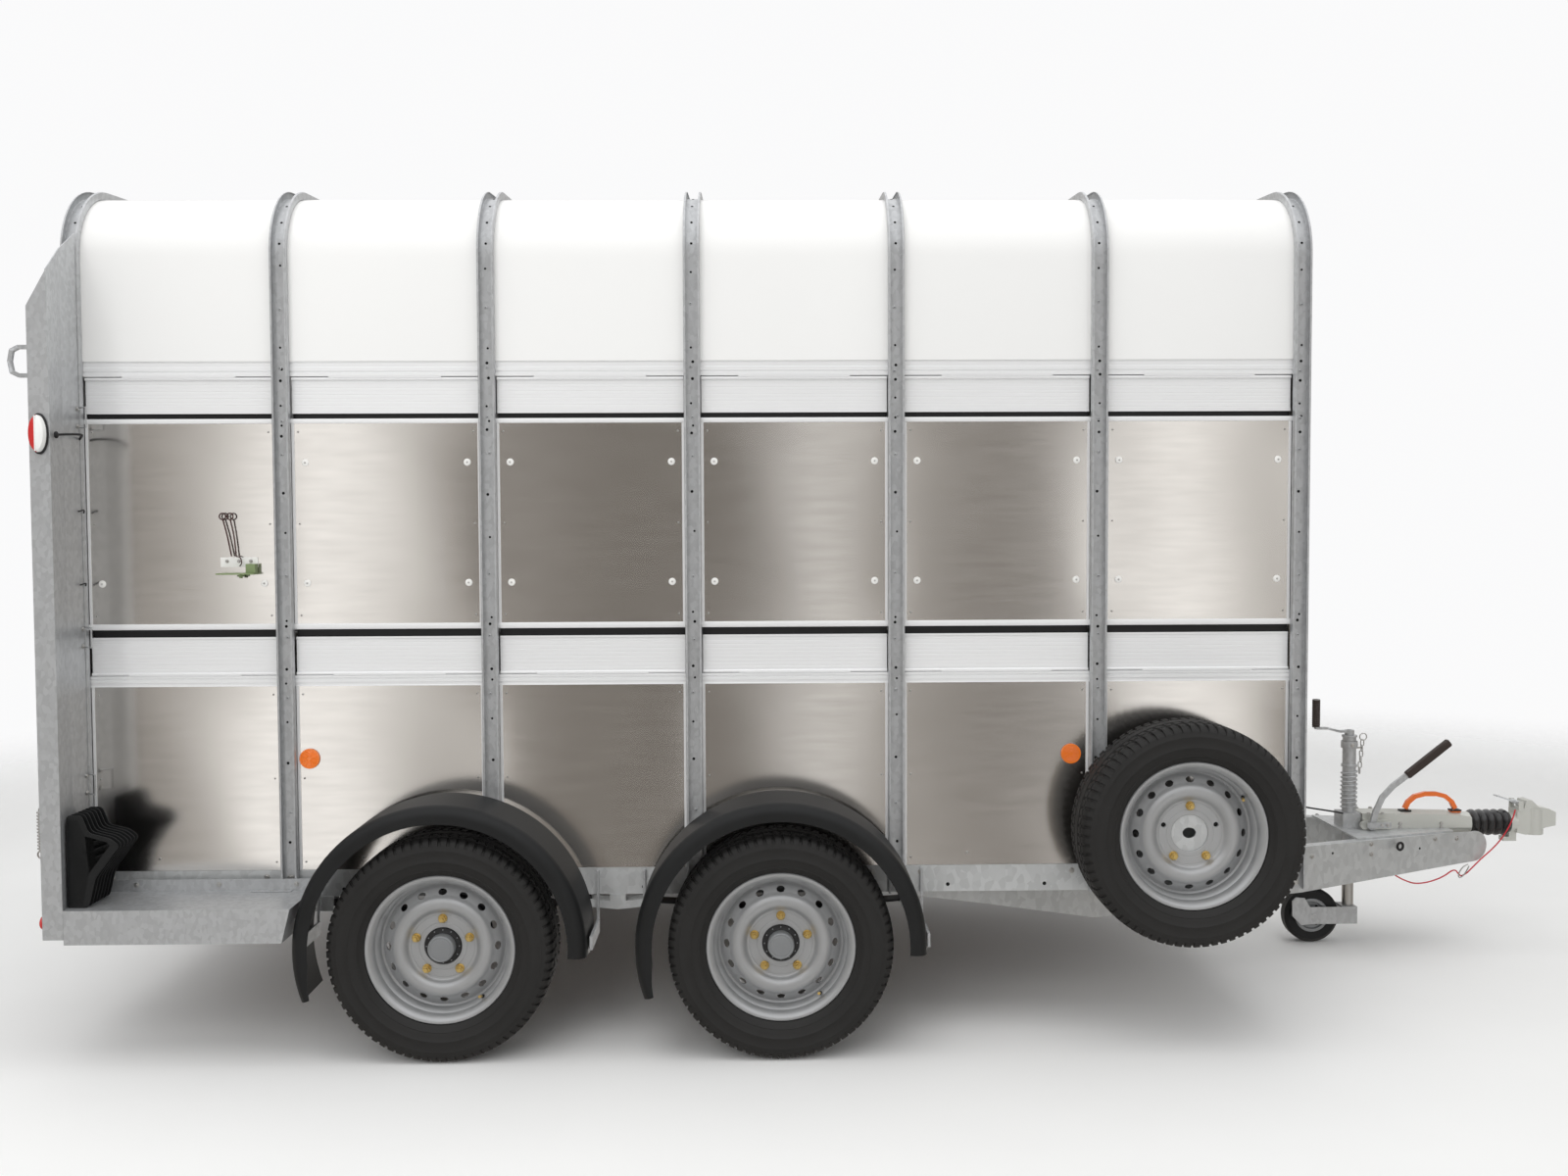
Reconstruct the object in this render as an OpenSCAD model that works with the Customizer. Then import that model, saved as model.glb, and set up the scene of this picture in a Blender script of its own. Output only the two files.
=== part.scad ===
// Livestock trailer: ribbed aluminium body on a tandem-axle chassis, tail ramp and braked drawbar.
// Frame: +X towards the hitch, +Y to the left, +Z up. The origin is on the ground, under the
// middle of the outline. Modules are drawn about the middle hoop (x = 0) and on_body() moves
// them into that frame. Left-hand parts are drawn at +Y and mirrored for the right.

/* [Body] */
// Pitch of the hoops along the body
bay = 620; // [600:1:622]
// Half of the width over the hoops' webs
half_w = 925; // [923:1:926]
// Height of the top of the roof's crown, at the hoops' webs
crown_z = 2633; // [2625:1:2640]
// Height at which the roof's corners begin to curve
spring_z = 2390; // [2385:1:2394]
// Radius of the roof's corners at the hoops' webs
roof_r = 213; // [205:1:215]
// Width of a hoop's channel along the body
hoop_w = 50; // [40:1:50]
// Depth of a hoop's flanges
hoop_depth = 22; // [16:1:22]
// Thickness of the translucent roof sheet
roof_t = 3.3; // [2:0.1:3.3]

/* [Side walls] */
// Top of the chassis rail's upstand, where the lower panels begin
sill_z = 522; // [520:1:522]
// Thickness of the side panels
panel_t = 3; // [1:0.5:3]
// Thickness of a ventilation flap
flap_t = 5; // [3:0.5:5]
// Length of a ventilation flap
flap_len = 566; // [520:1:567]

/* [Wheels] */
// Position of the rear axle
rear_axle_x = -740; // [-745:1:-740]
// Position of the front axle
front_axle_x = 260; // [255:1:262]
// Radius of the tyres
tyre_r = 334; // [330:1:334]
// Distance from the centre line to the middle of a tyre
track_y = 1062; // [1060:1:1066]
// Radius of the circle of wheel studs
stud_circle_r = 82.55; // [80:0.05:84]
// Number of ventilation holes in a wheel disc
rim_holes = 16; // [12:1:18]
// Radius of an axle's spindle
spindle_r = 20; // [17:0.5:20]

/* [Ramp and doors] */
// Height of the ramp's top edge when shut
ramp_top_z = 2300; // [2150:5:2340]
// Half of the ramp's width
ramp_half_w = 925; // [900:1:925]
// Height of the top of the partition gate
gate_top_z = 1740; // [1500:10:1900]
// Height of the top of the front inspection door
door_top_z = 1749; // [1600:1:1749]

/* [Drawbar] */
// Height of the top of the drawbar's arms
arm_top_z = 428; // [424:1:428]
// Height of the coupling's draw tube
tube_z = 445; // [443:1:447]
// Radius of the coupling's draw tube
tube_r = 25; // [22:0.5:25]
// Radius of the ball socket
socket_r = 25.2; // [25.1:0.05:25.4]
// Position of the jockey wheel's mast
mast_x = 2415; // [2412:1:2416]
// Radius of the jockey wheel
jockey_r = 102; // [95:1:102]

/* [Hidden] */
$fn = 48;

origin_x = -580;      // middle hoop, measured from the middle of the outline
gap = 0.5;            // space between welded members that stay separate solids
fit = 0.05;           // radial clearance of a pin or spindle in its bore
cut = 1;              // how far a cutting tool runs past a face

bays = 6;
body_half = bays * bay / 2 + hoop_w / 2;    // half the body's length
hoop_x = [for (i = [0 : bays]) (i - bays / 2) * bay];
bay_x = [for (i = [0 : bays - 1]) (i - bays / 2 + 0.5) * bay];
web_t = 3;                                  // hoop web, inside its outer face
lip_w = 7;                                  // returned edge of a hoop's flange
flange_t = 2.5;
roof_in = 6.5;                              // roof sheet's inner face, inside the hoops' outer face
wall_in = 7;                                // front wall's edge, inside the hoops' outer face
wall_x = body_half - 23;                    // rear face of the front wall
wall_t = 4;

// Side wall: heights of the four rails, and depths measured from the centre line
rail_z = [[1089, 1122], [1263, 1281], [1888, 1903], [2030, 2075]];
rail_y = [900, half_w - 4];
panel_y = half_w - 10;
flap_y = half_w - 16;
lower_hinge_z = rail_z[0][1] + 6;
upper_hinge_z = rail_z[3][0] - 7;
flap_hinge_y = flap_y + 6.5;
lower_flap_top = 1240;
upper_flap_bottom = 1918.5;
bead_r = 5;                                 // bead along a flap's hinged edge

// Chassis
rail_bottom = 440;
rail_web = half_w - 4;                      // outer face of the chassis rail
rail_depth = 50;
rail_t = 5;
rail_top = 499;
floor_z = [500, 518];
cross_x = [-1860, -1240, -620, 0, 620, 1240, 1835];

// Running gear
axle_x = [rear_axle_x, front_axle_x];
axle_z = tyre_r;
beam = 60;
spring_y = [868, 918];
spring_half = 400;
eye_z = 415;
leaf_z = 400;
leaf_t = 8;
leaf_halves = [400, 310, 220, 130];
eye_r = 14;
pin_r = 6;
stud_angles = [90, 18, -54, -126, 162];

// Mudguards and rear corner
guard_r = 430;
guard_t = 5;
guard_y = [half_w + 23, 1170];
stay_y = spring_y[1] + 9;                    // clear of the hangers' pins
stay_t = 8;
wing_y = [half_w + 25, 1170];
wing_x = -1817;                             // wing plate's front face at its outer edge
wing_in_x = -1838;                          // and at its inner edge, clear of the vent flaps
wing_bend_y = 1050;
wing_back = wing_in_x - 3;                  // wing plate's rear face at its inner edge
wing_rear = -1876;
shelf_top = 468;
shelf_front = -1165;
side_y = 1170;                              // outer face of wings, shelves and mudguards

// Ramp, latches and doors
ramp_x = [-1940, -1890];
ramp_bottom = 512;
ramp_axis = [-1946, 498];
knuckle_r = 12;
latch_y = 985;
latch_z = 2070;
latch_x = -1944;
gate_axis_y = 880;
gate_bottom = 540;
door_axis = [body_half + 1, -852];
door_y = [-848, -251];
door_bottom = 561;

// Spare wheel
spare_x = 1479;
spare_z = 653;

// Drawbar arms: from the chassis to the nose, as seen from above
arm_start = [650, 800];
arm_end = [2890, 55];
arm_len = norm(arm_end - arm_start);
arm_angle = atan2(arm_end[1] - arm_start[1], arm_end[0] - arm_start[0]);

// Coupling, handbrake and jockey wheel
bellows_x = [2866.5, 3017];
socket_x = 3112;
lever_pivot = [3052, 520];
brake_pivot = [2468, 450];
mast_r = 24.15;
stem_r = 20.5;
fork_z = [72, 136];
jockey_x = 2271;

// Breakaway cable, from the coupling head to the brake rod under the drawbar
cable_r = 2.5;
cable_route = [
    [3024, -46, 500], [3012, -52, 470], [2990, -58, 430], [2960, -63, 390], [2925, -67, 355],
    [2885, -71, 322], [2850, -75, 290], [2826, -79, 270], [2806, -82, 262], [2792, -86, 272],
    [2780, -91, 284], [2762, -97, 284], [2735, -104, 270], [2700, -114, 258], [2650, -130, 250],
    [2600, -146, 252], [2555, -158, 268], [2520, -168, 287]
];

// ---------- helpers ----------

module on_body() { translate([origin_x, 0, 0]) children(); }

module right() { mirror([0, 1, 0]) children(); }

module both_sides() {
    children();
    right() children();
}

// A box given by its low and high value along each axis
module block(x, y, z) {
    translate([x[0], y[0], z[0]]) cube([x[1] - x[0], y[1] - y[0], z[1] - z[0]]);
}

// A profile in Y and Z, extruded forwards from x
module across(x, len) { translate([x, 0, 0]) rotate([90, 0, 90]) linear_extrude(len) children(); }

// A profile in X and Z, extruded to the left from y
module along_y(y, len) { translate([0, y + len, 0]) rotate([90, 0, 0]) linear_extrude(len) children(); }

module rod_x(x, y, z, r) { translate([x[0], y, z]) rotate([0, 90, 0]) cylinder(r = r, h = x[1] - x[0]); }

module rod_y(x, y, z, r) { translate([x, y[1], z]) rotate([90, 0, 0]) cylinder(r = r, h = y[1] - y[0]); }

module rod_z(x, y, z, r) { translate([x, y, z[0]]) cylinder(r = r, h = z[1] - z[0]); }

// A flat bar of width w through a list of points, with round ends and corners
module stroke(points, w) {
    for (p = points) translate(p) circle(d = w);
    for (i = [0 : len(points) - 2]) {
        run = points[i + 1] - points[i];
        translate(points[i]) rotate(atan2(run[1], run[0])) translate([0, -w / 2]) square([norm(run), w]);
    }
}

// A flat bar of width w through a list of points, with mitred corners and square ends
function side_point(p, i, d) = let (a = p[max(i - 1, 0)], b = p[min(i + 1, len(p) - 1)], t = (b - a) / norm(b - a))
    p[i] + d * [-t[1], t[0]];
module bent_bar(points, w) polygon(concat(
    [for (i = [0 : len(points) - 1]) side_point(points, i, w / 2)],
    [for (i = [len(points) - 1 : -1 : 0]) side_point(points, i, -w / 2)]
));

// The body's outline in Y and Z at a distance d outside the hoops' webs, up from foot and over
crown_rise = crown_z - spring_z - roof_r;
corner_y = half_w - roof_r;
crown_drop = (corner_y * corner_y - crown_rise * crown_rise) / (2 * crown_rise);
crown_r = crown_drop + crown_rise + roof_r;
crown_a = atan(corner_y / crown_drop);
arc_steps = 12;
crown_steps = 10;
function corner_point(side, a, d) =
    [side * (corner_y + (roof_r + d) * cos(a)), spring_z + (roof_r + d) * sin(a)];
function crown_point(a, d) = [(crown_r + d) * sin(a), spring_z - crown_drop + (crown_r + d) * cos(a)];
function arch(d, foot) = concat(
    [[-half_w - d, foot]],
    [for (i = [0 : arc_steps]) corner_point(-1, i * (90 - crown_a) / arc_steps, d)],
    [for (i = [1 : crown_steps - 1]) crown_point((2 * i / crown_steps - 1) * crown_a, d)],
    [for (i = [arc_steps : -1 : 0]) corner_point(1, i * (90 - crown_a) / arc_steps, d)],
    [[half_w + d, foot]]
);
function reversed(p) = [for (i = [len(p) - 1 : -1 : 0]) p[i]];

// A band that follows that outline between two distances from the webs
module arch_band(d_in, d_out, foot) { polygon(concat(arch(d_out, foot), reversed(arch(d_in, foot)))); }

// ---------- chassis ----------

module chassis_rail() {
    block([-body_half, body_half], [rail_web - rail_t, rail_web], [rail_bottom, sill_z]);
    block([-body_half, body_half], [rail_web - rail_depth, rail_web], [rail_top - rail_t, rail_top]);
    block([-body_half, body_half], [rail_web - rail_depth, rail_web], [rail_bottom, rail_bottom + rail_t]);
}

// A rectangular tube between the rails, open at its ends
module cross_member(x) {
    reach = rail_web - rail_depth - gap;
    half = hoop_w / 2;
    difference() {
        block([x - half, x + half], [-reach, reach], [rail_bottom, rail_top]);
        block([x - half + web_t, x + half - web_t], [-reach - cut, reach + cut],
              [rail_bottom + web_t, rail_top - web_t]);
    }
}

module chassis_frame() color("silver") on_body() {
    both_sides() chassis_rail();
    for (x = cross_x) cross_member(x);
}

module floor_deck() color("gainsboro") on_body()
    block([-body_half, wall_x - gap], [-rail_web + rail_t + 2, rail_web - rail_t - 2], floor_z);

// ---------- running gear ----------

module axle_beams() color("dimgray") on_body()
    for (x = axle_x) {
        block([x - beam / 2, x + beam / 2], [-half_w, half_w], [axle_z - beam / 2, axle_z + beam / 2]);
        both_sides() {
            rod_y(x, [half_w - cut, track_y + 22], axle_z, spindle_r);
            rod_y(x, [track_y - 86, track_y - 82], axle_z, 128);
        }
    }

// One leaf as a shallow arc, k leaves below the main one
leaf_r = (spring_half * spring_half + pow(eye_z - leaf_z, 2)) / (2 * (eye_z - leaf_z));
function leaf_rise(x) = leaf_r - sqrt(leaf_r * leaf_r - x * x);
module leaf(k) {
    half = leaf_halves[k];
    top = [for (i = [-8 : 8]) [i * half / 8, leaf_z - (k - 0.5) * leaf_t + leaf_rise(i * half / 8)]];
    bottom = [for (p = reversed(top)) [p[0], p[1] - leaf_t + gap]];
    polygon(concat(top, bottom));
}

module leaf_springs() color("dimgray") on_body() both_sides()
    for (x = axle_x) translate([x, 0, 0]) {
        for (k = [1 : len(leaf_halves) - 1]) along_y(spring_y[0], spring_y[1] - spring_y[0]) leaf(k);
        difference() {
            union() {
                along_y(spring_y[0], spring_y[1] - spring_y[0]) leaf(0);
                for (end = [-1, 1]) rod_y(end * spring_half, spring_y, eye_z, eye_r);
            }
            for (end = [-1, 1])
                rod_y(end * spring_half, [spring_y[0] - cut, spring_y[1] + cut], eye_z, pin_r + fit);
        }
    }

// Two cheeks either side of a spring's eye and the pin through it
module eye_hanger(x) {
    for (y = [spring_y[0] - 6, spring_y[1] + 1])
        block([x - 28, x + 28], [y, y + 5], [eye_z - 20, rail_bottom]);
    rod_y(x, [spring_y[0] - 8, spring_y[1] + 8], eye_z, pin_r);
}

module rocker(x_rear, x_front) {
    mid = (x_rear + x_front) / 2;
    for (y = [spring_y[0] - 6, spring_y[1] + 1])
        along_y(y, 5) stroke([[x_rear, eye_z], [mid, eye_z - 10], [x_front, eye_z]], 24);
    for (x = [x_rear, x_front]) rod_y(x, [spring_y[0] - 8, spring_y[1] + 8], eye_z, pin_r);
    block([mid - 24, mid + 24], [spring_y[0] - 6, spring_y[1] + 6], [eye_z - 10, rail_bottom]);
}

// Seat, clamp plates and U-bolts that hold a spring on its axle
module spring_clamp() {
    seat_top = leaf_z - (len(leaf_halves) - 0.5) * leaf_t;
    block([-40, 40], spring_y, [axle_z + beam / 2, seat_top]);
    block([-48, 48], [spring_y[0] - 10, spring_y[1] + 10], [leaf_z + leaf_t / 2 + 1, leaf_z + leaf_t / 2 + 8]);
    block([-48, 48], [spring_y[0] - 10, spring_y[1] + 10], [axle_z - beam / 2 - 8, axle_z - beam / 2 - gap]);
    for (x = [-38, 38], y = [spring_y[0] - 5, spring_y[1] + 5])
        rod_z(x, y, [axle_z - beam / 2 - 16, leaf_z + 16], 4.5);
}

module spring_hangers() color("darkgray") on_body() both_sides() {
    eye_hanger(rear_axle_x - spring_half);
    eye_hanger(front_axle_x + spring_half);
    rocker(rear_axle_x + spring_half, front_axle_x - spring_half);
    for (x = axle_x) translate([x, 0, 0]) spring_clamp();
}

// ---------- wheels, drawn about the axle line with +Y outwards ----------

// A ring turned about Y from a profile in radius and distance outwards
module turned(profile) { rotate([-90, 0, 0]) rotate_extrude($fn = 96) polygon(profile); }

function both_faces(half) = concat(half, [for (p = reversed(half)) [p[0], -p[1]]]);

module tyre() {
    outer = [[tyre_r, 0], [tyre_r, 70], [tyre_r - 5, 84], [tyre_r - 20, 93], [290, 97.5], [258, 95],
             [232, 84], [222.5, 78], [222.5, 71.5], [208, 69], [203.5, 64]];
    inner = [[203.5, 50], [216, 52], [238, 78], [262, 87], [296, 87], [314, 76], [321, 60], [321, 0]];
    half = concat(outer, inner);
    turned(concat(half, [for (i = [len(half) - 2 : -1 : 1]) [half[i][0], -half[i][1]]]));
}

module rim() difference() {
    turned([
        [220.5, -76], [220.5, -72], [207, -70], [203, -66], [203, -50], [182, -34], [182, 10],
        [203, 34], [203, 66], [207, 70], [220.5, 72], [220.5, 76], [214, 76], [201, 71], [198.5, 66],
        [198.5, 36], [178, 14], [168, 22], [152, 36], [138, 48], [122, 50], [108, 44], [98, 30],
        [55, 30], [55, 26], [101, 26], [111, 40], [122, 45.5], [136, 43.5], [150, 31], [166, 17],
        [177.5, 6], [177.5, -34], [198.5, -52], [198.5, -66], [201, -71], [214, -76]
    ]);
    for (i = [0 : rim_holes - 1])
        rotate([0, i * 360 / rim_holes, 0]) rod_y(161, [0, 60], 0, 9);
    for (a = stud_angles) rotate([0, -a, 0]) rod_y(stud_circle_r, [0, 60], 0, 8);
}

// A stud and its nut, at the stud circle
module wheel_nut(a, foot) rotate([0, -a, 0]) {
    rod_y(stud_circle_r, [foot, 52], 0, 6.5);
    translate([stud_circle_r, 46, 0]) rotate([90, 0, 0]) cylinder(r = 12, h = 15.8, $fn = 6);
}

module hub() {
    bore = spindle_r + fit;
    turned([
        [bore, -60], [46, -60], [46, -4], [108, -4], [108, -74], [125, -74], [125, 8], [104, 8],
        [104, 26], [54.6, 26], [54.6, 31], [41, 31], [41, 66], [36, 70], [0, 70], [0, 24], [bore, 24]
    ]);
    for (a = stud_angles) wheel_nut(a, 20);
}

// Places a wheel part on one of the four corners
module at_wheel(x, side) on_body() {
    if (side == "right") right() translate([x, track_y, axle_z]) children();
    else translate([x, track_y, axle_z]) children();
}

module tyre_rear_right() color([0.1, 0.1, 0.1]) at_wheel(rear_axle_x, "right") tyre();
module tyre_rear_left() color([0.1, 0.1, 0.1]) at_wheel(rear_axle_x, "left") tyre();
module tyre_front_right() color([0.1, 0.1, 0.1]) at_wheel(front_axle_x, "right") tyre();
module tyre_front_left() color([0.1, 0.1, 0.1]) at_wheel(front_axle_x, "left") tyre();
module rim_rear_right() color("lightgray") at_wheel(rear_axle_x, "right") rim();
module rim_rear_left() color("lightgray") at_wheel(rear_axle_x, "left") rim();
module rim_front_right() color("lightgray") at_wheel(front_axle_x, "right") rim();
module rim_front_left() color("lightgray") at_wheel(front_axle_x, "left") rim();
module hub_rear_right() color("goldenrod") at_wheel(rear_axle_x, "right") hub();
module hub_rear_left() color("goldenrod") at_wheel(rear_axle_x, "left") hub();
module hub_front_right() color("goldenrod") at_wheel(front_axle_x, "right") hub();
module hub_front_left() color("goldenrod") at_wheel(front_axle_x, "left") hub();

// ---------- spare wheel ----------

module at_spare() on_body() right() translate([spare_x, track_y, spare_z]) children();

module spare_tyre() color([0.1, 0.1, 0.1]) at_spare() tyre();
module spare_rim() color("lightgray") at_spare() rim();

module spare_carrier() color("silver") {
    plate_in = 19.5;
    base = rail_web + gap - track_y;
    at_spare() {
        difference() {
            rod_y(0, [plate_in, 25.5], 0, 100);
            rod_y(0, [plate_in - cut, 25.5 + cut], 0, 40);
        }
        for (i = [0, 2, 3]) wheel_nut(stud_angles[i], plate_in);
        for (side = [-1, 1]) block([side * 71 - 4, side * 71 + 4], [base + 4, plate_in], [-142, 50]);
        block([-110, 110], [base, base + 4], [-190, 70]);
    }
}

// ---------- mudguards ----------

// The arc of a guard, from its tail to its front end
module guard_sector(r_in) {
    far = 2 * guard_r;
    difference() {
        circle(r = guard_r, $fn = 128);
        circle(r = r_in, $fn = 128);
        polygon(concat([[0, 0]], [for (a = [200 : 31.4 : 357]) [far * cos(a), far * sin(a)]]));
    }
}

module mudguards() color([0.14, 0.14, 0.15]) on_body() both_sides()
    for (x = axle_x) translate([x, 0, axle_z]) {
        along_y(guard_y[0], guard_y[1] - guard_y[0]) guard_sector(guard_r - guard_t);
        along_y(guard_y[1] - guard_t, guard_t) guard_sector(guard_r - 52);
    }

module mudguard_stays() color("silver") on_body() both_sides()
    for (x = [rear_axle_x - guard_r + 10, rear_axle_x + guard_r + 6,
              front_axle_x - guard_r + 8, front_axle_x + guard_r + 4]) {
        block([x, x + stay_t], [rail_web + gap, stay_y + stay_t], [rail_bottom + 1, 515]);
        block([x, x + stay_t], [stay_y, stay_y + stay_t], [325, 515]);
        block([x, x + stay_t], [stay_y, 1120], [325, 365]);
    }

// ---------- body ----------

module hoops() color("silver") on_body()
    for (x = hoop_x) {
        across(x - hoop_w / 2, hoop_w) arch_band(-web_t, 0, rail_bottom);
        for (side = [0, 1]) {
            edge = x - hoop_w / 2 + side * hoop_w;
            across(edge - side * flange_t, flange_t) arch_band(-web_t, hoop_depth, rail_bottom);
            across(edge - side * lip_w, lip_w) arch_band(hoop_depth - flange_t, hoop_depth, rail_bottom);
        }
    }

module roof_sheet() color([0.95, 0.96, 0.97]) on_body()
    across(-body_half, 2 * body_half) arch_band(-roof_in, roof_t - roof_in, rail_z[3][1] + gap);

// One row of side sheets, a sheet for each bay
module side_sheets(z) on_body() both_sides()
    for (x = bay_x)
        block([x - bay / 2 + gap, x + bay / 2 - gap], [panel_y, panel_y + panel_t], z);

module lower_panels() color("lightgray") side_sheets([sill_z + gap, rail_z[0][0]]);

module upper_panels() color("lightgray") side_sheets([rail_z[1][1], rail_z[2][0]]);

module vent_rails() color("whitesmoke") on_body() both_sides()
    for (z = rail_z) block([-body_half, wall_x - gap], rail_y, z);

// A row of flaps with the bead that they turn on
module flap_row(z, hinge_z) on_body()
    for (x = bay_x) {
        block([x - flap_len / 2, x + flap_len / 2], [flap_y, flap_y + flap_t], z);
        rod_x([x - flap_len / 2, x + flap_len / 2], flap_hinge_y, hinge_z, bead_r);
    }

module upper_row() color("whitesmoke") flap_row([upper_flap_bottom, upper_hinge_z], upper_hinge_z);
module lower_row() color("whitesmoke") flap_row([lower_hinge_z, lower_flap_top], lower_hinge_z);
module upper_flaps_right() right() upper_row();
module upper_flaps_left() upper_row();
module lower_flaps_right() right() lower_row();
module lower_flaps_left() lower_row();

// The front wall is four sheets around the inspection door
module front_wall() color("lightgray") on_body() {
    edge = half_w - wall_in;
    across(wall_x, wall_t) difference() {
        polygon(arch(-wall_in, door_top_z + 3));
        translate([-half_w, 0]) square([2 * half_w, door_top_z + 3]);
    }
    block([wall_x, wall_x + wall_t], [door_y[1] + 3, edge], [sill_z, door_top_z + 2]);
    block([wall_x, wall_x + wall_t], [-edge, door_y[0] - 3], [sill_z, door_top_z + 2]);
    block([wall_x, wall_x + wall_t], [door_y[0] - 2, door_y[1] + 2], [sill_z, door_bottom - 3]);
}

module front_door() color("gainsboro") on_body() {
    leaf_x = [wall_x, wall_x + 16];
    block(leaf_x, door_y, [door_bottom, door_top_z]);
    for (z = [700, 1500]) {
        block([leaf_x[1], leaf_x[1] + 4], [door_axis[1], door_y[0] + 150], [z, z + 40]);
        difference() {
            rod_z(door_axis[0], door_axis[1], [z, z + 40], 7);
            rod_z(door_axis[0], door_axis[1], [z - cut, z + 40 + cut], 4 + fit);
        }
    }
    block([leaf_x[1], leaf_x[1] + 22], [door_y[1] - 90, door_y[1] - 60], [1120, 1250]);
}

// ---------- rear corners ----------

// Plan of a wing's front face, from its inner edge outwards
wing_plan = [[wing_in_x, wing_y[0]], [wing_in_x, wing_bend_y], [wing_x, side_y]];

// The wing's plate with its top edge falling away from the body, and its two rearward flanges
module rear_wings() color("silver") on_body() both_sides() {
    intersection() {
        linear_extrude(crown_z) polygon(concat(wing_plan, [for (p = reversed(wing_plan)) p - [web_t, 0]]));
        across(wing_rear, wing_x - wing_rear + cut)
            polygon([[wing_y[0] - cut, 383], [side_y + cut, 383], [side_y + cut, 2308],
                     [wing_y[0] - cut, 2455]]);
    }
    along_y(side_y - web_t, web_t)
        polygon([[wing_rear, 383], [wing_x, 383], [wing_x, 2309], [wing_rear, 2205]]);
    block([wing_rear, wing_back + cut], [wing_y[0], wing_y[0] + web_t], [shelf_top + gap, 2200]);
}

module light_shelves() color("silver") on_body() both_sides() {
    rear = wing_x + gap;
    translate([0, 0, shelf_top - web_t]) linear_extrude(web_t) polygon([
        [wing_in_x + gap, half_w + 23], [wing_in_x + gap, wing_bend_y - gap], [rear, side_y],
        [shelf_front, side_y], [shelf_front, half_w + 23]
    ]);
    along_y(side_y - web_t, web_t)
        polygon([[rear, 368], [shelf_front - 28, 368], [shelf_front, shelf_top], [rear, shelf_top]]);
    block([wing_in_x + gap, shelf_front], [half_w + 23, half_w + 26], [shelf_top - web_t, shelf_top + 35]);
    along_y(half_w + 23, side_y - half_w - 23) polygon([
        [shelf_front, shelf_top], [shelf_front - 3, shelf_top], [shelf_front - 28, 368], [shelf_front - 25, 368]
    ]);
}

// A lamp block behind each wing, and the ribbed guard in front of it
module tail_lamps() color([0.75, 0.1, 0.08]) on_body() both_sides() {
    lamp_x = [wing_rear + 8, wing_back - gap];
    for (z = [520, 640]) block(lamp_x, [985, 1150], [z, z + 105]);
    along_y(1000, 140) polygon([
        [wing_x + 1, shelf_top + gap], [wing_x + 60, shelf_top + gap], [wing_x + 85, 560],
        [wing_x + 155, 650], [wing_x + 70, 690], [wing_x + 45, 740], [wing_x + 1, 740]
    ]);
}

// Side marker lamps on the wings, round side reflectors and small rear reflectors
module side_lamps() color("darkorange") on_body() both_sides() {
    for (z = [-33, 33]) rod_y(-1845, [side_y + gap, 1202], 1843 + z, 26);
    block([-1871, -1819], [side_y + gap, 1202], [1810, 1876]);
    for (x = [-1178, 1161])
        rod_y(x, [panel_y + panel_t + 0.3, panel_y + panel_t + 8], 866, 31);
    rod_x([wing_rear - 12, wing_rear - gap], side_y - 22, 430, 20);
    block([wing_rear - gap, wing_back + 10], [side_y - 42, side_y - 4], [410, 450]);
}

module panel_buttons() color("white") on_body() {
    y = panel_y + panel_t + 0.2;
    for (i = [0 : bays - 1], z = [1404, 1770], end = [-1, 1])
        if (i > 0 || z == 1404) right() rod_y(bay_x[i] + end * 245, [y, y + 4], z, 11);
    for (i = [1 : bays - 1], z = [1404, 1770], end = [-1, 1])
        rod_y(bay_x[i] + end * 245, [y, y + 4], z, 11);
}

// Shelf for the gate pins on the rear right-hand panel: a plate, two pins with rings and a block
module pin_bracket() color("lightgray") on_body() right() translate([0, panel_y + panel_t + 0.3, 0]) {
    block([-1436, -1323], [0, 4], [1455, 1478]);
    block([-1436, -1323], [0, 45], [1432, 1437]);
    block([-1352, -1323], [4.3, 30], [1437.3, 1466]);
    for (x = [-1424, -1400]) {
        translate([x, 12, 1608]) rotate([90, 0, 0]) ring(9, 2.2);
        along_y(10, 4) stroke([[x, 1599], [x + 20, 1500]], 4);
    }
}

// ---------- drawbar ----------

// Places the side view of an arm: its x runs along the arm and its extrusion is centred on it
module along_arm(w) translate([arm_start[0], arm_start[1], 0]) rotate([0, 0, arm_angle])
    along_y(-w / 2, w) children();

arm_bottom = [[0, 402], [310, 340], [700, 258], [1550, 266], [2266, 310]];
arm_under = rail_bottom - gap;              // top of an arm's rear part, under the chassis
arm_top = [[0, arm_under], [1290, arm_under], [1330, arm_top_z], [2200, arm_top_z]];

// A strip of height h along the points, on their upper side when h is positive
module flat_strip(points, h) { polygon(concat(points, [for (p = reversed(points)) p + [0, h]])); }

module drawbar_arm() {
    web = 6;
    flange = 38;
    nose = [arm_len - 30, 370];
    difference() {
        along_arm(web) union() {
            polygon(concat(arm_bottom, [[nose[0], 313], [nose[0], arm_top_z - 4]], reversed(arm_top)));
            translate(nose) circle(r = 56);
        }
        along_arm(web + 2 * cut) translate([1960, 403]) circle(r = 11);
    }
    translate([arm_start[0], arm_start[1], 0]) rotate([0, 0, arm_angle]) {
        along_y(-flange, flange) {
            flat_strip([for (i = [0 : 3]) arm_bottom[i]], flange_t * 2);
            flat_strip(arm_top, -flange_t * 2);
        }
    }
}

module drawbar() color("silver") on_body() {
    both_sides() drawbar_arm();
    difference() {
        translate([0, 0, arm_top_z + 0.3]) linear_extrude(5.7)
            polygon([[2360, -212], [2360, 212], [2770, 88], [2770, -88]]);
        rod_z(mast_x, 0, [arm_top_z - cut, arm_top_z + 10], mast_r + gap);
        block([2455, 2770 + cut], [-tube_r - 5, tube_r + 5], [arm_top_z - cut, arm_top_z + 10]);
    }
}

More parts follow.
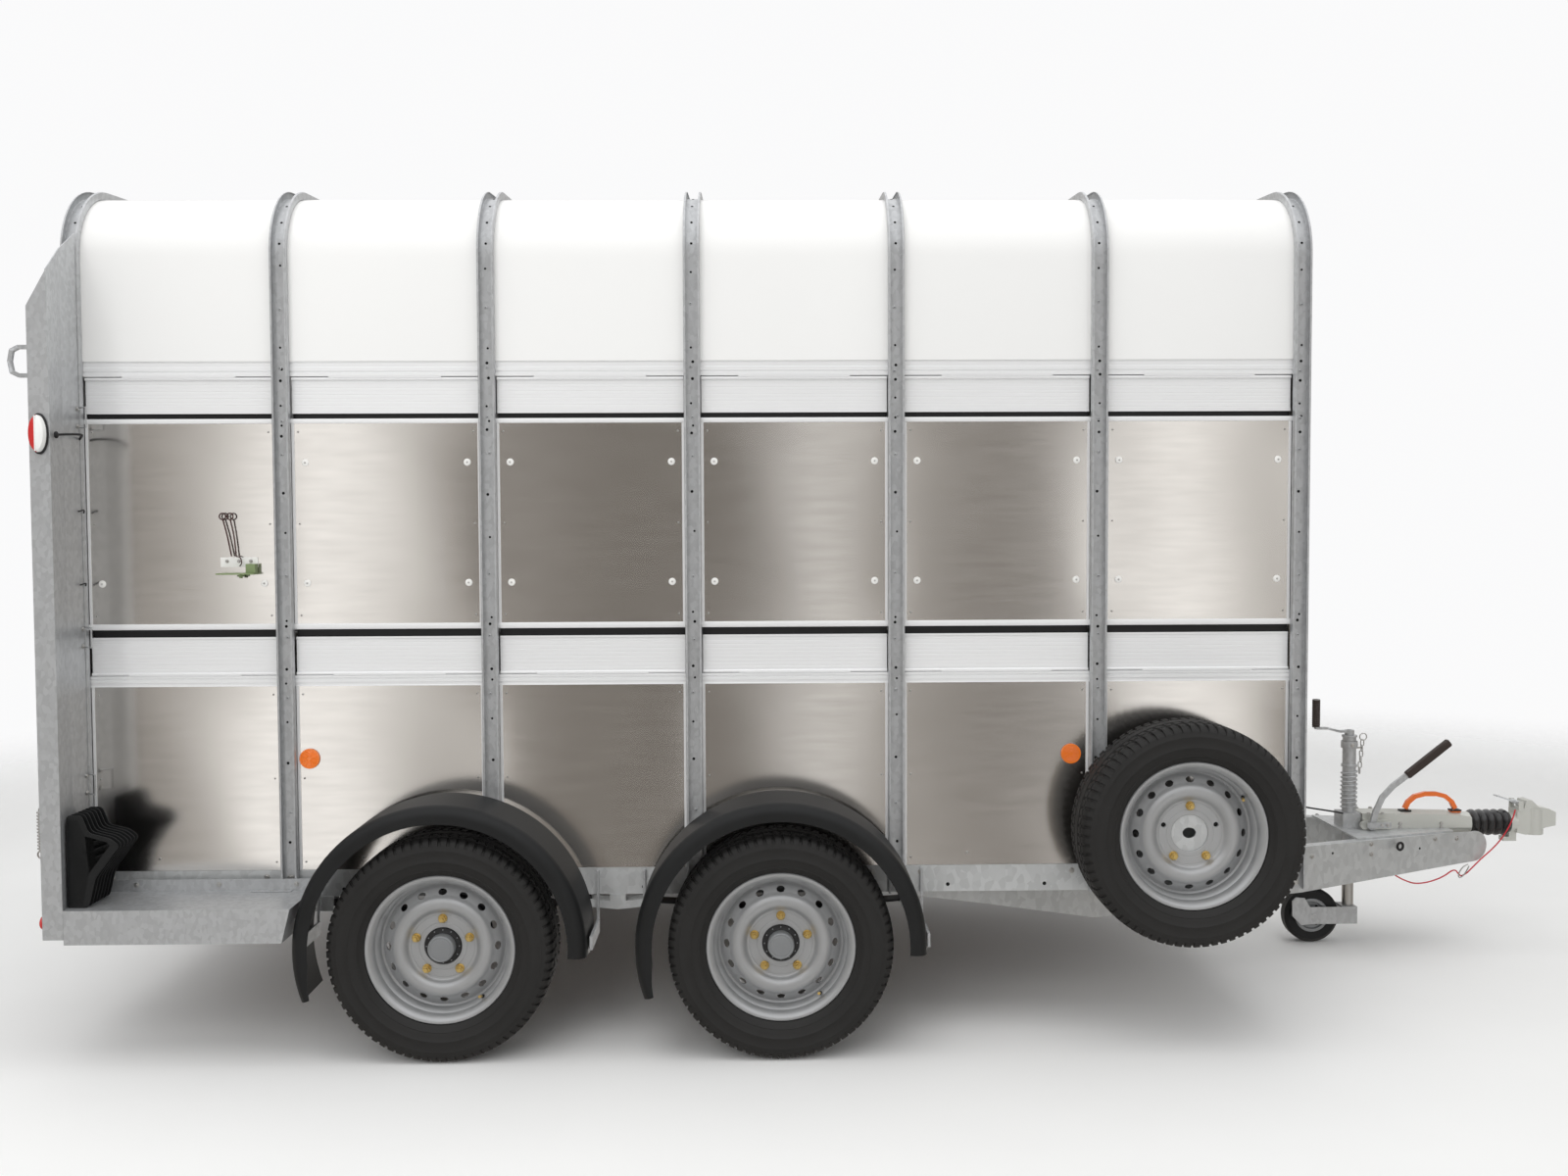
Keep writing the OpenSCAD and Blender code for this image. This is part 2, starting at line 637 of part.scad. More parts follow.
// Housing of the overrun coupling, with the bore that guides the draw tube
module coupling_housing() color([0.86, 0.85, 0.78]) on_body() difference() {
    base = arm_top_z + 6.3;
    union() {
        block([2447, 2540], [-60, 60], [base, base + 38]);
        along_y(-48, 96) polygon([
            [2447, base], [2447, 491], [2540, 491], [2800, 484], [2860, 474], [2860, base]
        ]);
        rod_x([2775, 2866], 0, tube_z, 40);
        along_y(-72, 12) stroke([[2447, base + 16], [2540, base + 16]], 30);
        rod_y(brake_pivot[0], [-92, -60], brake_pivot[1], pin_r);
    }
    rod_x([2462, 2866 + cut], 0, tube_z, tube_r + 0.5);
}

module grab_handle() color("orangered") on_body() {
    along_y(-8, 16) bent_bar([
        [2628, 499], [2640, 524], [2665, 545], [2700, 554], [2745, 554], [2780, 545], [2805, 524], [2818, 499]
    ], 16);
    block([2610, 2646], [-14, 14], [489.5, 494]);
    block([2801, 2835], [-14, 14], [485, 494]);
}

module coupling_head() color([0.86, 0.85, 0.78]) on_body() difference() {
    union() {
        rod_x([2560, 3060], 0, tube_z, tube_r);
        rod_x([3018, 3046], 0, tube_z, 36);
        block([2996, 3020], [-16, 16], [376, 392]);
        block([3018, 3046], [-16, 16], [376, tube_z]);
        along_y(-32, 64) polygon([
            [3040, 410], [3040, 498], [3066, 502], [3074, 530], [3094, 533], [3122, 506], [3160, 500],
            [3186, 487], [3186, 437], [3150, 430], [3074, 402]
        ]);
        rod_z(socket_x, 0, [402, 500], 39);
        for (y = [-36, 31.5]) block([3043, 3061], [y, y + 4.5], [492, 529]);
        rod_y(lever_pivot[0], [-36, 36], lever_pivot[1], 4);
    }
    rod_z(socket_x, 0, [402 - cut, 432], socket_r);
    translate([socket_x, 0, 432]) sphere(r = socket_r);
}

module coupling_lever() color("silver") on_body() difference() {
    union() {
        along_y(-14, 28) stroke([lever_pivot + [-8, 2], [2974, 546]], 6);
        rod_y(lever_pivot[0], [-30, 30], lever_pivot[1], 8.5);
    }
    rod_y(lever_pivot[0], [-40, 40], lever_pivot[1], 4 + fit);
}

module bellows() color([0.08, 0.08, 0.09]) on_body() {
    folds = 5;
    pitch = (bellows_x[1] - bellows_x[0]) / folds;
    inner = tube_r + 5;
    fold = [[0.1, 41], [0.35, 49], [0.65, 49], [0.9, 41]];
    crest = [for (i = [0 : folds - 1], p = fold) [p[1], (i + p[0]) * pitch]];
    translate([bellows_x[0], 0, tube_z]) rotate([0, 90, 0]) rotate_extrude($fn = 64)
        polygon(concat([[inner, 0], [38, 0]], crest, [[38, folds * pitch], [inner, folds * pitch]]));
}

module handbrake_lever() color("silver") on_body() difference() {
    union() {
        along_y(-88, 12) bent_bar([brake_pivot, [2482, 505], [2506, 558], [2545, 600], [2606, 646]], 20);
        along_y(-92, 20) bent_bar([[2602, 643], [2748, 758]], 26);
        rod_y(brake_pivot[0], [-88, -76], brake_pivot[1], 14);
    }
    rod_y(brake_pivot[0], [-100, -70], brake_pivot[1], pin_r + fit);
}

// ---------- jockey wheel ----------

module jockey_tube() color("silver") on_body() difference() {
    union() {
        rod_z(mast_x, 0, [262, 779], mast_r);
        rod_z(mast_x, 0, [731, 757], mast_r + 3);
        for (i = [0 : 6]) rod_z(mast_x, 0, [505 + i * 18, 514 + i * 18], mast_r + 1.5);
        block([2378, 2444], [-42, 42], [arm_top_z + 6.3, 490]);
    }
    rod_z(mast_x, 0, [262 - cut, 745], stem_r + gap);
    rod_z(mast_x, 0, [744, 779 + cut], 8 + fit);
}

module jockey_stem() color("silver") on_body() {
    rod_z(mast_x, 0, [fork_z[1] + gap, 700], stem_r);
    rod_z(mast_x, 0, [118, fork_z[1] + cut], 10);
}

module jockey_fork() color("silver") on_body() {
    cheek = 4;
    for (y = [-37, 37 - cheek]) difference() {
        block([2255, 2438], [y, y + cheek], fork_z);
        rod_y(jockey_x, [y - cut, y + cheek + cut], jockey_r, 8);
    }
    difference() {
        block([2385, 2438], [-37, 37], [fork_z[1] - 6, fork_z[1]]);
        rod_z(mast_x, 0, [fork_z[1] - 8, fork_z[1] + cut], 10 + fit);
    }
    rod_y(jockey_x, [-40, 40], jockey_r, 8);
    along_y(-45, 8)
        polygon([[2190, 105], [2190, 160], [2204, 174], [2236, 172], [2262, 130], [2262, 74], [2225, 70]]);
}

module jockey_wheel() color([0.12, 0.12, 0.12]) on_body() translate([jockey_x, 0, jockey_r])
    turned([
        [8 + fit, -30], [22, -30], [22, -8], [62, -8], [62, -24], [jockey_r - 12, -28], [jockey_r, -18],
        [jockey_r, 18], [jockey_r - 12, 28], [62, 24], [62, 8], [22, 8], [22, 30], [8 + fit, 30]
    ]);

module jockey_crank() color("silver") on_body() {
    rod_z(mast_x, 0, [748, 800], 8);
    rod_z(mast_x, 0, [780, 798], 17);
    along_y(-10, 20) stroke([[mast_x, 793], [2375, 793], [2330, 805], [2288, 805]], 8);
    rod_z(2288, 0, [809, 915], 13.5);
}

// Spring-clip ring and short chain that hang beside the mast
module jockey_chain() color("darkgray") on_body() {
    translate([2467, 0, 772]) rotate([90, 0, 0]) ring(13, 2);
    for (i = [0 : 5])
        translate([2464 - 2 * i, 0, 750 - i * 21]) rotate([90, 0, i % 2 * 90]) scale_link();
    block([mast_x + mast_r + 3.2, 2462], [-3, 3], [728, 734]);
}

// One oval link, its long side upright
module scale_link() rotate([0, 0, 90]) {
    for (side = [-1, 1]) rod_x([-6, 6], side * 6, 0, 2);
    for (side = [-1, 1]) translate([side * 6, 0, 0]) rotate([0, 0, -90 * side])
        rotate_extrude(angle = 180) translate([6, 0]) circle(r = 2);
}

// A tube swept along a route: rings of points square to the route's direction
function heading(p, i) = let (a = p[max(i - 1, 0)], b = p[min(i + 1, len(p) - 1)]) (b - a) / norm(b - a);
function ring_at(p, i, r, n) = let (
        t = heading(p, i), u = cross(t, [0, 1, 0]) / norm(cross(t, [0, 1, 0])), v = cross(t, u)
    ) [for (k = [0 : n - 1]) p[i] + r * (cos(360 * k / n) * u + sin(360 * k / n) * v)];
function between(p, steps) = concat(
    [for (i = [0 : len(p) - 2], k = [0 : steps - 1]) p[i] + (p[i + 1] - p[i]) * k / steps], [p[len(p) - 1]]);

module swept_tube(route, r, n) {
    p = between(route, 3);
    points = [for (i = [0 : len(p) - 1]) each ring_at(p, i, r, n)];
    sides = [for (i = [0 : len(p) - 2], k = [0 : n - 1]) let (m = (k + 1) % n)
        [i * n + k, i * n + m, (i + 1) * n + m, (i + 1) * n + k]];
    ends = [[for (k = [n - 1 : -1 : 0]) k], [for (k = [0 : n - 1]) (len(p) - 1) * n + k]];
    polyhedron(points, concat(sides, ends));
}

module breakaway_cable() color("red") on_body() swept_tube(cable_route, cable_r, 8);

// ---------- ramp, gate and their hinges ----------

ramp_knuckles = [-720, 0, 720];

// Fixed hinge halves: under the ramp, the latches' pins, beside the front door and the gate's posts
module fixed_hinges() color("silver") on_body() {
    for (y = ramp_knuckles) {
        rod_y(ramp_axis[0], [y - 20, y + 20], ramp_axis[1], knuckle_r);
        block([ramp_axis[0], -body_half - gap], [y - 20, y + 20], [ramp_axis[1] - knuckle_r, ramp_axis[1] - 3]);
        rod_y(ramp_axis[0], [y - 65, y + 65], ramp_axis[1], pin_r);
    }
    both_sides() {
        rod_x([latch_x - 14, wing_back - gap], latch_y, latch_z, pin_r);
        rod_x([latch_x + 1, wing_back - gap], latch_y, latch_z, 14);
    }
    for (z = [655, 1455]) {
        rod_z(door_axis[0], door_axis[1], [z, z + 42], 7);
        rod_z(door_axis[0], door_axis[1], [z, z + 88], 4);
        block([wall_x + wall_t, door_axis[0]], [door_axis[1] - 7, door_axis[1] - 1.5], [z, z + 42]);
    }
    for (z = [620, 1560]) {
        rod_z(0, gate_axis_y, [z, z + 38], 9);
        rod_z(0, gate_axis_y, [z, z + 80], 5);
    }
    block([-20, 20], [gate_axis_y + 10, rail_y[0] - 1], [gate_bottom, gate_top_z]);
    for (z = [620, 1560]) block([-6, 6], [gate_axis_y, gate_axis_y + 10], [z, z + 38]);
    block([-20, 20], [-rail_y[0] + 1, -gate_axis_y - 2], [gate_bottom, gate_top_z]);
}

module ramp_frame() color("silver") on_body() {
    tube = 30;
    x = [ramp_x[0] + 3.5, ramp_x[0] + 3.5 + tube];
    block([ramp_x[0], ramp_x[0] + 3], [-ramp_half_w, ramp_half_w], [ramp_bottom, ramp_top_z]);
    for (y = [-ramp_half_w, -tube / 2, ramp_half_w - tube]) block(x, [y, y + tube], [ramp_bottom, ramp_top_z]);
    for (bottom = [-ramp_half_w + tube + gap, tube / 2 + gap], z = [ramp_bottom, 1390, ramp_top_z - tube])
        block(x, [bottom, bottom + ramp_half_w - 1.5 * tube - 2 * gap], [z, z + tube]);
    for (y = ramp_knuckles) difference() {
        union() {
            rod_y(ramp_axis[0], [y + 21, y + 61], ramp_axis[1], knuckle_r);
            block([ramp_axis[0] - 1, ramp_x[0] + 9], [y + 21, y + 61], [ramp_axis[1] + 2, ramp_bottom + 1]);
        }
        rod_y(ramp_axis[0], [y + 20, y + 62], ramp_axis[1], pin_r + fit);
    }
}

// Boards on the ramp's inner face, with cross battens
module ramp_deck() color("tan") on_body() {
    board_x = [ramp_x[0] + 34, ramp_x[0] + 43];
    block(board_x, [-ramp_half_w + 2, ramp_half_w - 2], [ramp_bottom + 2, ramp_top_z - 2]);
    for (z = [ramp_bottom + 120 : 200 : ramp_top_z - 100])
        block([board_x[1] - gap, board_x[1] + 7], [-ramp_half_w + 60, ramp_half_w - 60], [z, z + 30]);
}

// A round wire ring of radius r about Z
module ring(r, wire) { rotate_extrude() translate([r, 0]) circle(r = wire, $fn = 16); }

// Coil springs that hang behind the wings and balance the ramp
module ramp_springs() color("goldenrod") on_body() both_sides() {
    x = -1976;
    y = 965;
    for (i = [0 : 11]) translate([x, y, 606 + i * 10]) ring(9, 3);
    rod_z(x, y, [600, 728], 7);
    translate([x, y, 587]) rotate([90, 0, 0]) ring(12, 2.5);
    rod_x([x, wing_back - gap], y, 728, 4);
}

// A turning latch: tongue, pivot hub and a looped pull
module latch() difference() {
    union() {
        across(latch_x - 8, 8) stroke([[latch_y, latch_z], [latch_y, latch_z + 82]], 24);
        along_y(latch_y - 6, 12) stroke([
            [latch_x - 6, latch_z - 42], [latch_x - 50, latch_z - 42], [latch_x - 70, latch_z - 32],
            [latch_x - 76, latch_z], [latch_x - 70, latch_z + 32], [latch_x - 50, latch_z + 42],
            [latch_x - 6, latch_z + 42]
        ], 12);
        across(latch_x - 8, 8) stroke([[latch_y, latch_z - 42], [latch_y, latch_z]], 24);
    }
    rod_x([latch_x - 30, latch_x + 10], latch_y, latch_z, pin_r + fit);
}

module ramp_latch_right() color("silver") on_body() right() latch();
module ramp_latch_left() color("silver") on_body() latch();

module partition_gate() color("lightgray") on_body() {
    tube = 30;
    y = [-gate_axis_y + 8, gate_axis_y - 26];
    for (edge = [y[0], -tube / 2, y[1] - tube])
        block([-tube / 2, tube / 2], [edge, edge + tube], [gate_bottom, gate_top_z]);
    for (z = [gate_bottom, gate_top_z - tube]) block([-tube / 2, tube / 2], y, [z, z + tube]);
    block([-1.5, 1.5], y, [gate_bottom, gate_top_z]);
    for (z = [659, 1599]) difference() {
        union() {
            rod_z(0, gate_axis_y, [z, z + 38], 9);
            block([-6, 6], [y[1] - cut, gate_axis_y], [z, z + 38]);
        }
        rod_z(0, gate_axis_y, [z - cut, z + 38 + cut], 5 + fit);
    }
}

// ---------- one line per sub-part ----------

chassis_frame();
floor_deck();
axle_beams();
leaf_springs();
spring_hangers();
mudguards();
mudguard_stays();
hoops();
lower_panels();
upper_panels();
vent_rails();
roof_sheet();
front_wall();
rear_wings();
light_shelves();
tail_lamps();
side_lamps();
panel_buttons();
pin_bracket();
spare_carrier();
spare_rim();
spare_tyre();
drawbar();
coupling_housing();
grab_handle();
jockey_tube();
jockey_chain();
breakaway_cable();
fixed_hinges();
ramp_springs();
upper_flaps_right();
upper_flaps_left();
lower_flaps_right();
lower_flaps_left();
tyre_rear_right();
tyre_rear_left();
tyre_front_right();
tyre_front_left();
rim_rear_right();
rim_rear_left();
rim_front_right();
rim_front_left();
hub_rear_right();
hub_rear_left();
hub_front_right();
hub_front_left();
ramp_frame();
ramp_deck();
ramp_latch_right();
ramp_latch_left();
partition_gate();
front_door();
jockey_stem();
jockey_fork();
jockey_wheel();
jockey_crank();
coupling_head();
coupling_lever();
bellows();
handbrake_lever();
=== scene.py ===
import math
import random

import bmesh
import bpy
from mathutils import Matrix, Vector


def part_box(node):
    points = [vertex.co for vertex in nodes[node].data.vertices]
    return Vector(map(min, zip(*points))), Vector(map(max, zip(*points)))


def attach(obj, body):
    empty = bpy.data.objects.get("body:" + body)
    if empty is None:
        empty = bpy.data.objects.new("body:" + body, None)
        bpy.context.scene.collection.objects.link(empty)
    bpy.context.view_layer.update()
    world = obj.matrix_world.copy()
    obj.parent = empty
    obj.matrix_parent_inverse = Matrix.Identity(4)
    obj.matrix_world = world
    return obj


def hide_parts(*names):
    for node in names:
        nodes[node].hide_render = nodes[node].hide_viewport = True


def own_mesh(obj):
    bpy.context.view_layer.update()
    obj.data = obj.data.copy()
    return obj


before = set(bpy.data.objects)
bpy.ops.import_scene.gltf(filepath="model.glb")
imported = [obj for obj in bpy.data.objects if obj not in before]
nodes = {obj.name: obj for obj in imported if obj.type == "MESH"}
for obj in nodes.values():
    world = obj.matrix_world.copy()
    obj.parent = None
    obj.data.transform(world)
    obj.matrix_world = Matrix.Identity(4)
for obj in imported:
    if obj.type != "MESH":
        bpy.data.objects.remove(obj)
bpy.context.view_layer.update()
scene = bpy.context.scene
random.seed(7)

# ---------- driving dimensions, in metres, from the frame ----------

HOOP_W = 0.050
HOOP_DEPTH = 0.022
BAYS = 6
hoops_lo, hoops_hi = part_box("hoops")
MID_X = (hoops_lo.x + hoops_hi.x) / 2
PITCH = (hoops_hi.x - hoops_lo.x - HOOP_W) / BAYS
WEB_Y = hoops_hi.y - HOOP_DEPTH
CROWN_Z = hoops_hi.z - HOOP_DEPTH
FOOT_Z = hoops_lo.z
SPRING_Z = 2.390
ROOF_R = 0.213
HOOP_X = [MID_X + (i - BAYS / 2) * PITCH for i in range(BAYS + 1)]
BAY_X = [MID_X + (i - BAYS / 2 + 0.5) * PITCH for i in range(BAYS)]
SIDES = {"right": -1, "left": 1}


def at(x, y, z):
    """A point whose x is measured from the middle hoop."""
    return Vector((MID_X + x, y, z))


def centre(node):
    lo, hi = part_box(node)
    return (lo + hi) / 2


# ---------- camera ----------

FOCAL = 32.39
EYE = at(0.205, -5.237, 1.570)
YAW, PITCH_DOWN, ROLL = math.radians(-0.95), math.radians(2.49), math.radians(0.24)


def make_camera():
    right = Vector((math.cos(YAW), math.sin(YAW), 0))
    ahead = Vector((-math.sin(YAW) * math.cos(PITCH_DOWN),
                    math.cos(YAW) * math.cos(PITCH_DOWN), -math.sin(PITCH_DOWN)))
    down = ahead.cross(right)
    x_axis = right * math.cos(ROLL) + down * math.sin(ROLL)
    y_axis = right * math.sin(ROLL) - down * math.cos(ROLL)
    data = bpy.data.cameras.new("camera")
    data.lens = FOCAL
    data.sensor_width = 36
    camera = bpy.data.objects.new("camera", data)
    camera.matrix_world = Matrix.Translation(EYE) @ Matrix((x_axis, y_axis, -ahead)).transposed().to_4x4()
    scene.collection.objects.link(camera)
    scene.camera = camera


make_camera()

# ---------- materials ----------


class Look:
    """A node material: one shader, and textures in the piece's own coordinates."""

    def __init__(self, name, colour, rough, metallic=0.0, **sockets):
        self.material = bpy.data.materials.new(name)
        self.material.use_nodes = True
        self.tree = self.material.node_tree
        self.shader = self.tree.nodes["Principled BSDF"]
        self.colour = colour
        self.rough = rough
        self.shader.inputs["Base Color"].default_value = (*colour, 1)
        self.shader.inputs["Roughness"].default_value = rough
        self.shader.inputs["Metallic"].default_value = metallic
        for socket, value in sockets.items():
            self.shader.inputs[socket.replace("_", " ")].default_value = value
        self.material.diffuse_color = (*colour, 1)

    def node(self, kind, **settings):
        made = self.tree.nodes.new(kind)
        for key, value in settings.items():
            setattr(made, key, value)
        return made

    def link(self, output, target):
        self.tree.links.new(output, target)

    def place(self, stretch=(1, 1, 1)):
        source = self.node("ShaderNodeTexCoord").outputs["Object"]
        mapping = self.node("ShaderNodeMapping")
        mapping.inputs["Scale"].default_value = stretch
        self.link(source, mapping.inputs["Vector"])
        return mapping.outputs["Vector"]

    def noise(self, scale, detail=3.0, stretch=(1, 1, 1)):
        made = self.node("ShaderNodeTexNoise")
        made.inputs["Scale"].default_value = scale
        made.inputs["Detail"].default_value = detail
        self.link(self.place(stretch), made.inputs["Vector"])
        return made.outputs["Fac"]

    def cells(self, scale, stretch=(1, 1, 1)):
        made = self.node("ShaderNodeTexVoronoi")
        made.inputs["Scale"].default_value = scale
        self.link(self.place(stretch), made.inputs["Vector"])
        return made.outputs["Color"]

    def ramp(self, value, stops):
        made = self.node("ShaderNodeValToRGB")
        bar = made.color_ramp
        while len(bar.elements) < len(stops):
            bar.elements.new(0.5)
        for element, (position, colour) in zip(bar.elements, stops):
            element.position = position
            element.color = (*colour, 1)
        self.link(value, made.inputs["Fac"])
        return made.outputs["Color"]

    def span(self, value, low, high):
        made = self.node("ShaderNodeMapRange")
        made.inputs["From Min"].default_value = 0.25
        made.inputs["From Max"].default_value = 0.75
        made.inputs["To Min"].default_value = low
        made.inputs["To Max"].default_value = high
        self.link(value, made.inputs["Value"])
        return made.outputs["Result"]

    def shades(self, value, dark, light):
        """Colours the surface between two multiples of its own colour."""
        stops = [(0.25, [c * dark for c in self.colour]), (0.75, [min(c * light, 1) for c in self.colour])]
        self.link(self.ramp(value, stops), self.shader.inputs["Base Color"])
        return self

    def roughness(self, value, low, high):
        self.link(self.span(value, low, high), self.shader.inputs["Roughness"])
        return self

    def bump(self, value, strength, distance=0.001):
        made = self.node("ShaderNodeBump")
        made.inputs["Strength"].default_value = strength
        made.inputs["Distance"].default_value = distance
        self.link(value, made.inputs["Height"])
        self.link(made.outputs["Normal"], self.shader.inputs["Normal"])
        return self


def galvanised(name, colour, scale):
    look = Look(name, colour, 0.4, 0.6)
    look.shades(look.cells(scale, (1, 1, 0.7)), 0.93, 1.07)
    look.roughness(look.noise(scale * 0.7), 0.30, 0.52)
    return look.bump(look.noise(scale * 3), 0.12, 0.0006)


def sheet_metal(name, colour, low, high, grain):
    look = Look(name, colour, low, 1.0)
    look.shades(look.noise(1.6, 4), 0.94, 1.05)
    look.roughness(look.noise(grain * 0.3, 4, (0.12, 1, 1)), low, high)
    return look.bump(look.noise(grain, 3, (0.3, 1, 1)), 0.01, 0.0001)


def grained(name, colour, rough, scale=400, strength=0.25, **sockets):
    look = Look(name, colour, rough, **sockets)
    look.shades(look.noise(6, 5), 0.82, 1.18)
    return look.bump(look.noise(scale, 3), strength, 0.0004)


def painted(name, colour, rough=0.35, metallic=0.0, **sockets):
    look = Look(name, colour, rough, metallic, **sockets)
    look.shades(look.noise(7, 5), 0.95, 1.05)
    look.roughness(look.noise(30, 4), rough * 0.85, rough * 1.2)
    return look.bump(look.noise(260, 2), 0.06, 0.0003)


ZINC = galvanised("galvanised", (0.52, 0.53, 0.54), 90)
ZINC_HEAVY = galvanised("galvanised_heavy", (0.60, 0.615, 0.62), 55)
SHEET = sheet_metal("panel_sheet", (0.80, 0.78, 0.755), 0.15, 0.18, 160)
EXTRUSION = Look("extrusion", (0.87, 0.872, 0.876), 0.34, 0.3)
EXTRUSION.shades(EXTRUSION.noise(1.2, 3, (0.2, 1, 1)), 0.95, 1.03)
RAMP_SHEET = sheet_metal("ramp_sheet", (0.74, 0.745, 0.75), 0.28, 0.4, 140)
ROOF = Look("roof_plastic", (0.83, 0.825, 0.81), 0.3, Coat_Weight=0.2)
ROOF.shades(ROOF.noise(0.9, 2), 0.985, 1.01)
GUARD = grained("guard_plastic", (0.010, 0.0105, 0.011), 0.5, 300, 0.2, Specular_IOR_Level=0.32)
RUBBER = grained("tyre_rubber", (0.013, 0.0125, 0.012), 0.66, 240, 0.35)
SEAL = grained("black_seal", (0.008, 0.008, 0.009), 0.6)
WHEEL_PAINT = painted("wheel_paint", (0.40, 0.405, 0.41), 0.36, 0.5, Coat_Weight=0.25)
HUB_BLACK = painted("hub_black", (0.012, 0.012, 0.013), 0.5)
CAP_GREY = painted("cap_grey", (0.30, 0.31, 0.32), 0.5, 0.6)
GOLD = painted("yellow_zinc", (0.76, 0.55, 0.20), 0.3, 0.95)
STEEL = painted("bright_steel", (0.56, 0.555, 0.54), 0.3, 0.95)
CHASSIS_BLACK = grained("chassis_black", (0.022, 0.022, 0.024), 0.5, 120, 0.3)
LAMP_RED = painted("lamp_red", (0.55, 0.02, 0.02), 0.18, Coat_Weight=0.6)
LAMP_CLEAR = painted("lamp_clear", (0.86, 0.86, 0.84), 0.15, Coat_Weight=0.6)
AMBER = painted("reflector_amber", (0.88, 0.20, 0.015), 0.22, Coat_Weight=0.5)
WHITE = painted("white_plastic", (0.82, 0.81, 0.78), 0.4)
ORANGE = painted("orange_plastic", (0.86, 0.17, 0.02), 0.32, Coat_Weight=0.3)
CREAM = painted("coupling_cream", (0.60, 0.605, 0.565), 0.38, 0.3)
BELLOWS = painted("bellows_rubber", (0.010, 0.010, 0.011), 0.16, Coat_Weight=0.5)
RED_CABLE = painted("red_cable", (0.55, 0.015, 0.03), 0.35)
GRIP_BROWN = grained("grip_brown", (0.035, 0.022, 0.018), 0.5)
PIN_BROWN = painted("pin_brown", (0.055, 0.022, 0.020), 0.4)
PIN_GREEN = painted("pin_green", (0.20, 0.26, 0.12), 0.45)
BOARD = grained("ramp_board", (0.10, 0.060, 0.038), 0.6, 60, 0.4)
# Painted shade: near-black discs put on holes, standing in for the unlit inside of each hole.
HOLE_SHADE = Look("hole_painted_shade", (0.004, 0.004, 0.004), 0.9)
HOLE_SHADE.shades(HOLE_SHADE.noise(20), 0.8, 1.2)

# ---------- geometry ----------


def turns(n):
    """The angles of n even steps round a circle."""
    return [2 * math.pi * k / n for k in range(n)]


def spoke(a):
    """The unit vector at angle a in the plane of X and Z."""
    return Vector((math.cos(a), 0, math.sin(a)))


def framed(axis):
    """Two unit vectors square to an axis."""
    axis = Vector(axis).normalized()
    helper = Vector((0, 0, 1)) if abs(axis.z) < 0.9 else Vector((1, 0, 0))
    u = axis.cross(helper).normalized()
    return u, axis.cross(u)


